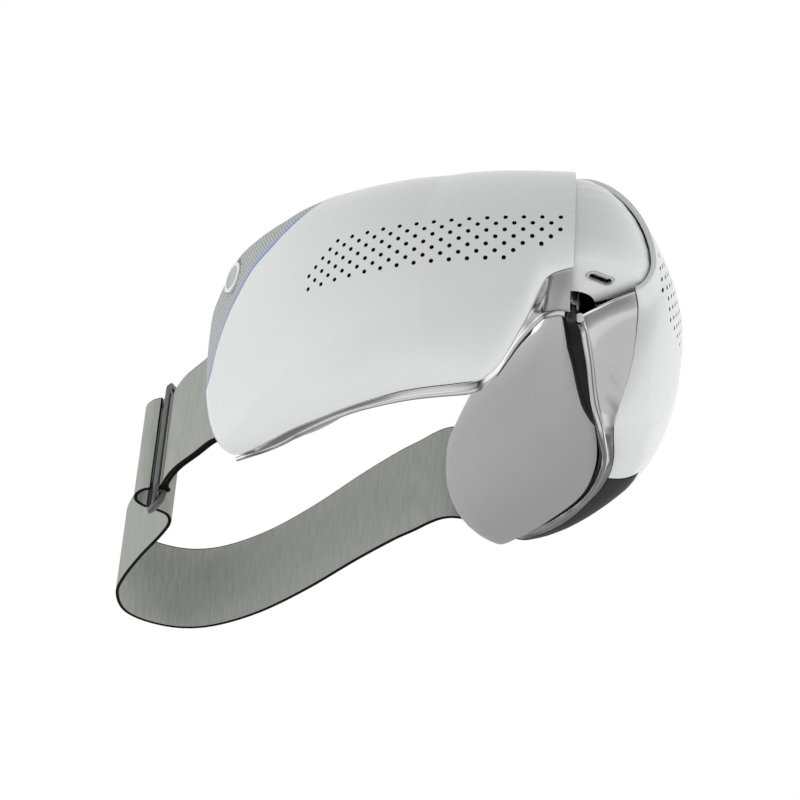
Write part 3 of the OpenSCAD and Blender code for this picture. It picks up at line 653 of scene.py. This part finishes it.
def band(name, line, thick, z0, width, across=28):
    """A woven band of rounded section along a line seen from above."""
    q, u = even(line, 1.0)
    t = np.gradient(q, axis=0)
    t /= np.linalg.norm(t, axis=1)[:, None]
    nrm = np.stack([-t[:, 1], t[:, 0]], 1)
    h, r = thick / 2, min(0.7, thick / 2)
    zs = np.linspace(z0 + r, z0 + width - r, across)
    rise = np.radians([18, 36, 54, 72, 90])
    # a fully round edge has its top point once
    fall = rise[::-1][(1 if h - r < 1e-6 else 0):]
    top, low = z0 + width - r, z0 + r
    outline = [(h, z, 1) for z in zs]
    outline += [((h - r) + r * cos(a), top + r * sin(a), 0) for a in rise]
    outline += [(-((h - r) + r * cos(a)), top + r * sin(a), 0) for a in fall]
    outline += [(-h, z, -1) for z in zs[::-1]]
    outline += [(-((h - r) + r * cos(a)), low - r * sin(a), 0) for a in rise]
    outline += [((h - r) + r * cos(a), low - r * sin(a), 0) for a in fall]
    k = len(outline)
    v, al = [], []
    for i in range(len(q)):
        for a, z, w in outline:
            v.append((q[i, 0] + nrm[i, 0] * a, q[i, 1] + nrm[i, 1] * a, z))
            al.append((u[i], z - z0, w))
    f = grid_faces(len(q), k, wrap=True)
    f += [tuple(range(k))[::-1], tuple((len(q) - 1) * k + j for j in range(k))]
    ob = new_mesh(name, np.array(v) / 1000, f, angle=50)
    mark(ob, np.array(al))
    recalc(ob)
    smooth(ob, 50)
    return ob, u[-1] / 1000


ANCHOR_D, STRAP_Z, STRAP_W, BAR = 15.3, -30.0, 40.0, (-59.5, 189.0)
LONG = [(60.5, 132.5), (55.5, 135.6), (48.5, 136.4), (43, 138.6), (40.2, 143), (39, 150), (38.5, 160), (37.3, 175),
        (37, 205), (38, 250), (36, 290), (29, 320), (18, 335), (2, 338), (-13, 331), (-25, 312), (-31, 291),
        (-36, 262), (-39, 238), (-42, 221), (-46.5, 212.5), (-52, 210), (-58, 209.5), (-63, 206.5), (-65.5, 201),
        (-65.5, 195), (-63.8, 191.5)]
SHORT = [(-64, 134), (-64, 150), (-64, 165), (-62.5, 177), (-60.2, 186.3)]


def root(side):
    p = [world(pt(s, ANCHOR_D + d, 0), side) * 1000 for s, d in ((159, 0), (166, 0.6), (174, 1.6))]
    return [(float(a[0]), float(a[1])) for a in p]


def strap_long():
    ob, l = band("strap_long_band", through(root(1) + LONG, 10), 1.5, STRAP_Z, STRAP_W)
    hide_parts("strap_long")
    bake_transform(ob)
    print("strap_long", round(l, 4))
    return ob


def strap_short():
    """One band that leaves the temple, turns round the bar of the buckle and comes back."""
    q = through(root(-1) + SHORT, 10)
    t = np.gradient(q, axis=0)
    t /= np.linalg.norm(t, axis=1)[:, None]
    n = np.stack([-t[:, 1], t[:, 0]], 1)
    c, R = np.array(BAR), 1.5 + 0.15 + 0.7
    go, back = q + n * 0.76, q - n * 0.76
    keep = np.linalg.norm(q - c, axis=1) > 4.6
    go, back = go[keep], back[keep]
    a0 = math.atan2(*(go[-1] - c)[::-1])
    a1 = math.atan2(*(back[-1] - c)[::-1])
    # round the far side of the bar, from the outgoing layer to the returning one
    far = math.atan2(*(c - q[keep][-1])[::-1])
    def turn(a, b):
        return (b - a + pi) % (2 * pi) - pi
    s0, s1 = turn(a0, far), turn(far, a1)
    way = math.copysign(1, s0)
    angs = np.concatenate([np.linspace(far - (abs(s0) - 0.45) * way, far, 14),
                           np.linspace(far, far + (abs(s1) - 0.45) * way, 14)[1:]])
    arc = np.stack([c[0] + R * np.cos(angs), c[1] + R * np.sin(angs)], 1)
    line = np.concatenate([go, arc, back[::-1]])
    line = through(line, 1)
    ob, l = band("strap_short_band", line, 1.4, STRAP_Z, STRAP_W)
    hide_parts("strap_short")
    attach(ob, "right_half")
    print("strap_short", round(l, 4))
    return ob


def rod(name, corners, wide, deep, bend, k=20):
    """A flat wire bent through points, its wide side towards the outside of the temple."""
    c, line = np.array(corners, float), []
    for i, p in enumerate(c):
        if i in (0, len(c) - 1):
            line.append(p)
            continue
        a = p + (c[i - 1] - p) / np.linalg.norm(c[i - 1] - p) * bend
        b = p + (c[i + 1] - p) / np.linalg.norm(c[i + 1] - p) * bend
        line += [a * (1 - t) ** 2 + 2 * p * t * (1 - t) + b * t * t for t in np.linspace(0, 1, 9)]
    line = np.array(line)
    fine_ = [line[0]]
    for a, b in zip(line, line[1:]):
        m = max(1, int(np.linalg.norm(b - a) / 1.5))
        fine_ += [a + (b - a) * t for t in np.arange(1, m + 1) / m]
    line = np.array(fine_)
    t = np.gradient(line, axis=0)
    t /= np.linalg.norm(t, axis=1)[:, None]
    out = np.array([-0.93, -0.36, 0.0])
    n = out - t * (t @ out)[:, None]
    n /= np.linalg.norm(n, axis=1)[:, None]
    w = np.cross(t, n)
    v = []
    for i in range(len(line)):
        for q in np.arange(k) * 2 * pi / k:
            x, y = cos(q), sin(q)
            x, y = math.copysign(abs(x) ** 0.55, x), math.copysign(abs(y) ** 0.55, y)
            v.append(line[i] + w[i] * x * wide / 2 + n[i] * y * deep / 2)
    f = grid_faces(len(line), k, wrap=True)
    f += [tuple(range(k))[::-1], tuple((len(line) - 1) * k + j for j in range(k))]
    ob = new_mesh(name, np.array(v) / 1000, f, angle=50)
    recalc(ob)
    smooth(ob, 50)
    return ob


# Materials. Lengths in the nodes are in millimetres

def N(nt, kind, inputs=None, **props):
    n = nt.nodes.new(kind)
    for k, v in props.items():
        setattr(n, k, v)
    for k, v in (inputs or {}).items():
        if isinstance(v, bpy.types.NodeSocket):
            nt.links.new(v, n.inputs[k])
        else:
            n.inputs[k].default_value = v
    return n


def start(name, **values):
    m = bpy.data.materials.new(name)
    m.use_nodes = True
    nt = m.node_tree
    b = nt.nodes["Principled BSDF"]
    for k, v in values.items():
        b.inputs[k.replace("_", " ")].default_value = v
    return m, nt, b


def mm(nt, along=False):
    """Object coordinates, or the lengths kept on a mesh, in mm."""
    if along:
        return N(nt, "ShaderNodeAttribute", attribute_name="along").outputs["Vector"]
    c = N(nt, "ShaderNodeTexCoord").outputs["Object"]
    return N(nt, "ShaderNodeVectorMath", {0: c, 1: (1000, 1000, 1000)}, operation="MULTIPLY").outputs[0]


def scaled(nt, v, x, y, z):
    return N(nt, "ShaderNodeVectorMath", {0: v, 1: (x, y, z)}, operation="MULTIPLY").outputs[0]


def noise(nt, v, per_mm, detail=2.0):
    values = {"Vector": v, "Scale": per_mm, "Detail": detail, "Roughness": 0.55}
    return N(nt, "ShaderNodeTexNoise", values).outputs["Fac"]


def between(nt, fac, a, b, lo=0.0, hi=1.0):
    return N(nt, "ShaderNodeMapRange", {0: fac, 1: lo, 2: hi, 3: a, 4: b}, clamp=True).outputs[0]


def ramp(nt, fac, stops):
    n = N(nt, "ShaderNodeValToRGB", {"Fac": fac})
    e = n.color_ramp.elements
    while len(e) < len(stops):
        e.new(0.5)
    for x, (at, c) in zip(e, stops):
        x.position, x.color = at, (*c, 1) if len(c) == 3 else (c[0],) * 3 + (1,)
    return n.outputs["Color"]


def op(nt, kind, a, b=0.0):
    return N(nt, "ShaderNodeMath", {0: a, 1: b}, operation=kind).outputs[0]


def colours(nt, fac, a, b):
    n = N(nt, "ShaderNodeMix", data_type="RGBA")
    for k, v in ((0, fac), (6, a), (7, b)):
        if isinstance(v, bpy.types.NodeSocket):
            nt.links.new(v, n.inputs[k])
        else:
            n.inputs[k].default_value = v if k == 0 else (*v, 1)
    return n.outputs[2]


def bump(nt, b, height, mm_deep, strength=1.0):
    n = N(nt, "ShaderNodeBump", {"Height": height, "Strength": strength, "Distance": mm_deep / 1000})
    nt.links.new(n.outputs["Normal"], b.inputs["Normal"])
    return n


def put(nt, b, name, value):
    nt.links.new(value, b.inputs[name])


def plastic(name, colour, rough, grain=0.02, coat=0.0, spread=0.03, per_mm=1.2, shine=0.5):
    """Moulded plastic with a fine skin and a slight drift of tone."""
    m, nt, b = start(name, Coat_Weight=coat, Coat_Roughness=0.06, Specular_IOR_Level=shine)
    v = mm(nt)
    big = noise(nt, v, 0.02, 1.0)
    fine = noise(nt, v, per_mm, 3.0)
    low, high = (tuple(min(1, c * k) for c in colour) for k in (1 - spread, 1 + spread))
    put(nt, b, "Base Color", colours(nt, big, low, high))
    put(nt, b, "Roughness", between(nt, fine, rough * 0.85, rough * 1.15, 0.3, 0.7))
    bump(nt, b, fine, grain)
    return m


def chrome(name, rough=0.09):
    """Polished plating. Its base colour holds painted reflections, stripes that follow the way the surface faces as a
    studio's cards show in it, and painted shade where it faces down.
    """
    m, nt, b = start(name, Metallic=1.0)
    v = mm(nt)
    nrm = N(nt, "ShaderNodeTexCoord").outputs["Normal"]
    slow = noise(nt, v, 0.07, 1.0)
    marks = noise(nt, scaled(nt, v, 0.4, 0.4, 6), 1.5, 2.0)

    def facing(x, y, z):
        return N(nt, "ShaderNodeVectorMath", {0: nrm, 1: (x, y, z)}, operation="DOT_PRODUCT").outputs["Value"]
    # painted reflections: the base colour runs in light and dark stripes by the way the surface faces
    toward = op(nt, "ADD", op(nt, "ADD", facing(0.62, -0.35, 0.7), op(nt, "MULTIPLY", slow, 0.5)), -0.25)
    wave = N(nt, "ShaderNodeMath", {0: op(nt, "MULTIPLY", toward, 7.5)}, operation="SINE").outputs[0]
    painted_reflection_bands = ramp(nt, between(nt, wave, 0, 1, -1, 1), [
        (0.0, (0.20, 0.20, 0.205)), (0.18, (0.42, 0.42, 0.425)), (0.4, (0.78, 0.78, 0.79)),
        (0.62, (0.95, 0.95, 0.95))])
    # painted shade: where the surface faces down the colour goes dark
    down = between(nt, facing(0.1, 0.15, -0.98), 0, 0.85, 0.72, 0.98)
    tone = colours(nt, down, painted_reflection_bands, (0.12, 0.12, 0.125))
    put(nt, b, "Base Color", tone)
    put(nt, b, "Roughness", between(nt, marks, rough * 0.7, rough * 1.5, 0.3, 0.7))
    bump(nt, b, op(nt, "ADD", slow, op(nt, "MULTIPLY", marks, 0.004)), 0.25)
    return m


def leather(name):
    """Soft PU skin with a small grain; its colour has painted shade towards the bottom and painted light towards the
    top.
    """
    m, nt, b = start(name, Sheen_Weight=0.12, Sheen_Roughness=0.4)
    v = mm(nt)
    cells = N(nt, "ShaderNodeTexVoronoi", {"Vector": v, "Scale": 1.9}, feature="DISTANCE_TO_EDGE").outputs["Distance"]
    pores = between(nt, cells, 0.0, 1.0, 0.0, 0.12)
    soft = noise(nt, v, 0.035, 2.0)
    tone = colours(nt, soft, (0.50, 0.503, 0.50), (0.56, 0.562, 0.56))
    dark = colours(nt, pores, (0.47, 0.472, 0.47), (0.54, 0.541, 0.54))
    # painted shade and light by height: low on the cushion the colour is darkened, higher up it is lightened
    low = between(nt, N(nt, "ShaderNodeSeparateXYZ", {0: v}).outputs[2], 0.0, 1.0, -46, 30)
    shade = ramp(nt, low, [(0.0, (0.60,)), (0.35, (1.05,)), (1.0, (1.45,))])
    mixed = N(nt, "ShaderNodeVectorMath", {0: colours(nt, 0.5, tone, dark), 1: shade}, operation="MULTIPLY")
    put(nt, b, "Base Color", mixed.outputs[0])
    put(nt, b, "Roughness", between(nt, noise(nt, v, 2.5), 0.42, 0.56, 0.3, 0.7))
    bump(nt, b, op(nt, "ADD", pores, op(nt, "MULTIPLY", noise(nt, v, 3.0), 0.35)), 0.03)
    return m


CORD_PITCH, TWIST_PITCH, RIB_PITCH, YARN_PITCH = 1.15, 0.8, 0.9, 0.7


def waves(nt, v):
    """Round ridges, 0 to 1, one for each pi of the value."""
    return op(nt, "ABSOLUTE", N(nt, "ShaderNodeMath", {0: v}, operation="SINE").outputs[0])


def ribbed(name):
    """Panel fabric: fine cords side by side, each with its twist."""
    m, nt, b = start(name, Sheen_Weight=0.2, Sheen_Roughness=0.5, Roughness=0.85)
    v = mm(nt, True)
    x = N(nt, "ShaderNodeSeparateXYZ", {0: v})
    a = math.radians(-45)
    wob = op(nt, "MULTIPLY", noise(nt, v, 0.5, 1.0), 0.35)
    sx, sy, cx, cy = (op(nt, "MULTIPLY", x.outputs[i], k)
                      for k in (math.sin(a), math.cos(a)) for i in (0, 1))
    w = op(nt, "ADD", op(nt, "ADD", sx, cy), wob)
    u = op(nt, "SUBTRACT", cx, sy)
    cord = waves(nt, op(nt, "MULTIPLY", w, pi / CORD_PITCH))
    twist = waves(nt, op(nt, "ADD", op(nt, "MULTIPLY", u, pi / TWIST_PITCH), op(nt, "MULTIPLY", w, 1.6)))
    h = op(nt, "ADD", op(nt, "POWER", cord, 0.6), op(nt, "MULTIPLY", twist, 0.18))
    fibre = noise(nt, v, 4.0, 3.0)
    # the tone is darkest down in the grooves between the cords and lightest on their tops: painted shade in the
    # grooves
    tone = ramp(nt, cord, [
        (0.0, (0.25, 0.262, 0.262)), (0.3, (0.44, 0.46, 0.46)), (0.7, (0.58, 0.605, 0.605))])
    fluff = between(nt, fibre, 0.0, 0.35, 0.3, 0.7)
    put(nt, b, "Base Color", colours(nt, fluff, tone, (0.33, 0.35, 0.35)))
    bump(nt, b, h, 0.15)
    return m


def webbing(name):
    """Elastic band: fine cross ribs, faint streaks, black rounded edges."""
    m, nt, b = start(name, Sheen_Weight=0.15, Sheen_Roughness=0.5, Roughness=0.8)
    v = mm(nt, True)
    x = N(nt, "ShaderNodeSeparateXYZ", {0: v})
    u, z, w = x.outputs[0], x.outputs[1], x.outputs[2]
    rib = waves(nt, op(nt, "MULTIPLY", u, pi / RIB_PITCH))
    yarn = waves(nt, op(nt, "MULTIPLY", z, pi / YARN_PITCH))
    streak = noise(nt, scaled(nt, v, 1.0, 0.12, 1.0), 0.8, 3.0)
    slow = noise(nt, scaled(nt, v, 0.3, 1.0, 1.0), 0.06, 2.0)
    a = colours(nt, between(nt, streak, 0, 1, 0.3, 0.7), (0.305, 0.32, 0.291), (0.435, 0.452, 0.415))
    # the rib crests are mixed lighter: painted light on the crests
    a = colours(nt, op(nt, "MULTIPLY", rib, 0.35), a, (0.425, 0.443, 0.407))
    a = colours(nt, op(nt, "MULTIPLY", slow, 0.25), a, (0.29, 0.303, 0.28))
    # the rounded edges, top and bottom, are black
    edge = between(nt, op(nt, "ABSOLUTE", w), 1.0, 0.0, 0.35, 0.98)
    put(nt, b, "Base Color", colours(nt, edge, a, (0.004, 0.004, 0.004)))
    put(nt, b, "Sheen Weight", between(nt, edge, 0.15, 0.0))
    put(nt, b, "Specular IOR Level", between(nt, edge, 0.5, 0.1))
    threads = op(nt, "ADD", op(nt, "MULTIPLY", yarn, 0.3), op(nt, "MULTIPLY", streak, 0.6))
    h = op(nt, "ADD", op(nt, "MULTIPLY", rib, 0.6), threads)
    bump(nt, b, h, 0.12)
    return m


def light_guide(name):
    m, nt, b = start(name, Roughness=0.35)
    v = mm(nt, True)
    n = noise(nt, v, 0.25, 1.0)
    c = colours(nt, n, (0.06, 0.20, 0.55), (0.12, 0.31, 0.74))
    put(nt, b, "Base Color", c)
    put(nt, b, "Emission Color", c)
    b.inputs["Emission Strength"].default_value = 0.12
    return m


def metal(name, colour, rough, stretch=(1, 1, 8)):
    m, nt, b = start(name, Metallic=1.0)
    v = mm(nt)
    n = noise(nt, scaled(nt, v, *stretch), 1.5, 3.0)
    put(nt, b, "Base Color", colours(nt, n, tuple(c * 0.8 for c in colour), colour))
    put(nt, b, "Roughness", between(nt, n, rough * 0.7, rough * 1.3, 0.3, 0.7))
    bump(nt, b, n, 0.015)
    return m


def board(name):
    m, nt, b = start(name, Roughness=0.4, Coat_Weight=0.4)
    v = mm(nt)
    tr = N(nt, "ShaderNodeTexBrick", {
        "Vector": v, "Scale": 0.5, "Color1": (0.02, 0.16, 0.07, 1), "Color2": (0.02, 0.2, 0.09, 1),
        "Mortar": (0.05, 0.3, 0.14, 1), "Mortar Size": 0.03})
    put(nt, b, "Base Color", tr.outputs["Color"])
    bump(nt, b, tr.outputs["Fac"], 0.04)
    return m


MATS = {
    "white_gloss": plastic("white_gloss_shell", (0.78, 0.785, 0.79), 0.26, 0.003, coat=0.12,
                           spread=0.012, per_mm=0.9),
    "bright_chrome": chrome("bright_chrome_plating"),
    "black_housing": plastic("black_housing_plastic", (0.022, 0.022, 0.024), 0.55, 0.03, per_mm=2.5,
                             shine=0.2),
    "cushion_skin": leather("cushion_pu_skin"),
    "air_cell": plastic("air_cell_film", (0.75, 0.75, 0.74), 0.5, 0.05),
    "heater_film": metal("heater_film_copper", (0.72, 0.42, 0.12), 0.35, (1, 1, 1)),
    "steel": metal("brushed_steel", (0.62, 0.62, 0.63), 0.3),
    "black_parts": plastic("black_parts_plastic", (0.04, 0.04, 0.045), 0.55, 0.03, per_mm=2.5),
    "panel_fabric": ribbed("panel_rib_fabric"),
    "blue_light": light_guide("blue_light_guide"),
    "black_rubber": plastic("black_rubber_skin", (0.03, 0.03, 0.03), 0.7, 0.04, per_mm=2.0),
    "hinge_black": plastic("hinge_black_plastic", (0.02, 0.02, 0.022), 0.4, 0.015, per_mm=2.0),
    "white_button": plastic("white_button_plastic", (0.86, 0.87, 0.88), 0.3, 0.01, coat=0.2, spread=0.01),
    "grey_button": plastic("grey_button_plastic", (0.52, 0.54, 0.54), 0.5, 0.03, per_mm=3.0),
    "circuit_board": board("circuit_board_mask"),
    "battery_wrap": plastic("battery_wrap_film", (0.10, 0.16, 0.34), 0.35, 0.02, coat=0.3),
    "strap_fabric": webbing("strap_elastic_weave"),
    "socket_plastic": plastic("socket_plastic_black", (0.05, 0.05, 0.052), 0.5, 0.02, per_mm=2.5),
    "flex_film": plastic("flex_film_orange", (0.65, 0.32, 0.06), 0.35, 0.01),
    "dark_wire": metal("dark_wire_steel", (0.16, 0.16, 0.165), 0.32, (2, 2, 2)),
}
# black painted shade for the walls and bottoms of the shell's holes
HOLE_SHADE = plastic("painted_hole_shade_black", (0.012, 0.012, 0.013), 0.8, 0.05, per_mm=4.0)
SLOT = {p["node"]: p["material_slot"] for p in frame["record"]["subparts"]}


def dress(ob, slot_name):
    """One material, and black painted shade as the second one where a mesh has faces of index 1."""
    kind = np.zeros(len(ob.data.polygons), np.int32)
    if ob.name.endswith("_shell_skin"):
        ob.data.polygons.foreach_get("material_index", kind)
    ob.data.materials.clear()
    ob.data.materials.append(MATS[slot_name])
    if kind.any():
        ob.data.materials.append(HOLE_SHADE)
    ob.data.polygons.foreach_set("material_index", kind)


def set_up(ob, node, body=None):
    """A piece that stands for a CAD node: its body, its slot and its material."""
    if body:
        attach(ob, body)
    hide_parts(node)
    dress(ob, SLOT[node])
    return ob


for n_, o_ in nodes.items():
    dress(o_, SLOT[n_])
nodes["socket_ring"].data.materials[0] = metal("socket_ring_plating", (0.9, 0.9, 0.91), 0.2, (2, 2, 2))

BUTTON_S, BUTTON_Z, BUTTON_HOLE_R = HALF_ARC - 25, 21.0, 6.0


def cut_button_hole(panel, side):
    """A round hole through the side panel, square to its surface, where the ring button sits."""
    a, c, b = (np.array(sec(BUTTON_S, float(angle_of(BUTTON_S, BUTTON_Z)) + k, 0)) for k in (-3, 0, 3))
    tilt = -math.atan2(b[0] - a[0], b[1] - a[1])
    h = math.radians(float(np.interp(BUTTON_S, range(len(ARC)), np.degrees(ARC[:, 2]))))
    # outwards from the panel, then turned with the section, the arc and the half
    n = np.array([0, -math.cos(tilt), -math.sin(tilt)])
    n = np.array([n[0] * math.cos(h) - n[1] * math.sin(h), n[0] * math.sin(h) + n[1] * math.cos(h), n[2]])
    n = world(n, side) * 1000
    mid = world(pt(BUTTON_S, c[0], c[1]), side)
    bpy.ops.mesh.primitive_cylinder_add(vertices=72, radius=BUTTON_HOLE_R / 1000, depth=0.012,
                                        location=[float(x) for x in mid])
    tool = bpy.context.object
    tool.rotation_mode = "QUATERNION"
    tool.rotation_quaternion = Vector([float(x) for x in n]).to_track_quat("Z", "Y")
    cut = panel.modifiers.new("hole", "BOOLEAN")
    cut.operation, cut.object, cut.solver = "DIFFERENCE", tool, "EXACT"
    bpy.context.view_layer.update()
    apply(panel)
    bpy.data.objects.remove(tool)
    smooth(panel, 38)


# Pieces of both halves
for side, word in ((-1, "right"), (1, "left")):
    body = word + "_half"
    set_up(shell(side, word + "_shell_skin"), word + "_shell")
    set_up(nose_wall(side, word + "_nose_wall_plated"), word + "_nose_wall", body)
    set_up(lip_tube(side, word + "_trim_bead"), word + "_trim_ring", body)
    set_up(frame_face(side, word + "_frame_body"), word + "_frame", body)
    pad = set_up(cushion(side, word + "_cushion_pad"), word + "_cushion", body)
    fine = list(np.arange(94, HALF_ARC - TIP_R - 0.3, 1.0))
    panel = sheet_piece(side, word + "_panel_fabric", fine,
                        lambda s: min(f_line(s) + LIGHT_W + SEAM, f_top(s) - 0.05), f_top, 0.2, WALL, 24)
    if side < 0:
        cut_button_hole(panel, side)
    set_up(panel, word + "_side_panel", body)
    guide = sheet_piece(side, word + "_light_line", fine, f_line,
                        lambda s: min(f_line(s) + LIGHT_W, f_top(s)), 0.0, 1.2, 5, 0.12)
    set_up(guide, word + "_light_strip", body)
cover_at = [COVER_FROM] + list(np.arange(84, HALF_ARC - TIP_R - 0.3, 1.5))
cover = sheet_piece(1, "left_cover_panel", cover_at, f_low,
                    lambda s: float(curve(COVER_Z, s)) - SEAM, 0.0, WALL, 16)
set_up(cover, "left_battery_cover", "left_half")
for piece in (strap_long(), strap_short()):
    dress(piece, "strap_fabric")

# The wire that stands in front of the short strap, from the bar's top down to the loop's foot
FRONT_WIRE = [(*BAR, 13.3), (-64.2, 184.7, 13.3), (-64.2, 184.7, -31), (-58.6, 199, -33.4), (-57.9, 204, -33.4)]
front = rod("buckle_front_bar", FRONT_WIRE, 2.4, 1.7, 2.2)
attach(front, "strap_buckle")
dress(front, "dark_wire")

# Camera, fitted to the photo: place in metres, then azimuth, elevation and roll in degrees
CAM_AT = Vector((-0.3236, -0.4614, -0.3211))
az, el, roll = (math.radians(a) for a in (-29.466, -25.886, 4.209))
back = Vector((math.sin(az) * math.cos(el), -math.cos(az) * math.cos(el), math.sin(el)))
r0 = (-back).cross(Vector((0, 0, 1))).normalized()
u0 = r0.cross(-back)
rx, ux = math.cos(roll) * r0 + math.sin(roll) * u0, -math.sin(roll) * r0 + math.cos(roll) * u0
cam = bpy.data.objects.new("camera", bpy.data.cameras.new("camera"))
bpy.context.scene.collection.objects.link(cam)
cam.matrix_world = Matrix(((rx.x, ux.x, back.x, CAM_AT.x), (rx.y, ux.y, back.y, CAM_AT.y),
                           (rx.z, ux.z, back.z, CAM_AT.z), (0, 0, 0, 1)))
cam.data.lens, cam.data.sensor_width, cam.data.clip_start, cam.data.clip_end = 86.6, 36.0, 0.01, 20
bpy.context.scene.camera = cam

# Floor, world and lamps
bpy.context.scene.view_settings.view_transform = "Standard"
FLOOR_Z, FLOOR_HALF = -1.0, 8
corners = [(x * FLOOR_HALF, y * FLOOR_HALF, FLOOR_Z) for x, y in ((-1, -1), (1, -1), (1, 1), (-1, 1))]
floor = new_mesh("floor", corners, [(0, 1, 2, 3)], shaded=False)
paint, nt, b = start("floor_paint", Roughness=0.9)
put(nt, b, "Base Color", colours(nt, noise(nt, mm(nt), 0.004, 3.0), (0.78, 0.78, 0.78), (0.82, 0.82, 0.82)))
floor.data.materials.append(paint)

world_ = bpy.data.worlds.new("studio")
bpy.context.scene.world = world_
world_.use_nodes = True
wt = world_.node_tree
wt.nodes.clear()
path = N(wt, "ShaderNodeLightPath")
camera_or_glossy = op(wt, "MAXIMUM", path.outputs["Is Camera Ray"], path.outputs["Is Glossy Ray"])
seen = op(wt, "MAXIMUM", camera_or_glossy, path.outputs["Is Transmission Ray"])
lit = N(wt, "ShaderNodeBackground", {"Color": (1, 1, 1, 1), "Strength": 0.59})
white = N(wt, "ShaderNodeBackground", {"Color": (1, 1, 1, 1), "Strength": 1.0})
mix = N(wt, "ShaderNodeMixShader", {0: seen, 1: lit.outputs[0], 2: white.outputs[0]})
wo = N(wt, "ShaderNodeOutputWorld")
wt.links.new(mix.outputs[0], wo.inputs["Surface"])


def lamp(name, where, size, power):
    """A square lamp that lights but doesn't show: where is its place from the point it is aimed at."""
    d = bpy.data.lights.new(name, "AREA")
    d.shape, d.size, d.energy = "SQUARE", size, power
    o = bpy.data.objects.new(name, d)
    bpy.context.scene.collection.objects.link(o)
    aim = Vector((0, 0.08, 0))
    o.location = aim + Vector(where)
    o.rotation_mode = "QUATERNION"
    o.rotation_quaternion = (-Vector(where)).to_track_quat("-Z", "Y")
    o.visible_glossy = o.visible_camera = False
    return o


lamp("key_left", (-1.2, 0.42, -0.22), 1.0, 5.0)
lamp("fill_right", (1.15, -0.62, -0.4), 1.0, 7.5)
lamp("under", (-0.16, -0.06, -0.40), 0.3, 0.33)
lamp("top", (0.0, 0.1, 1.3), 1.0, 1.0)

bpy.context.view_layer.update()
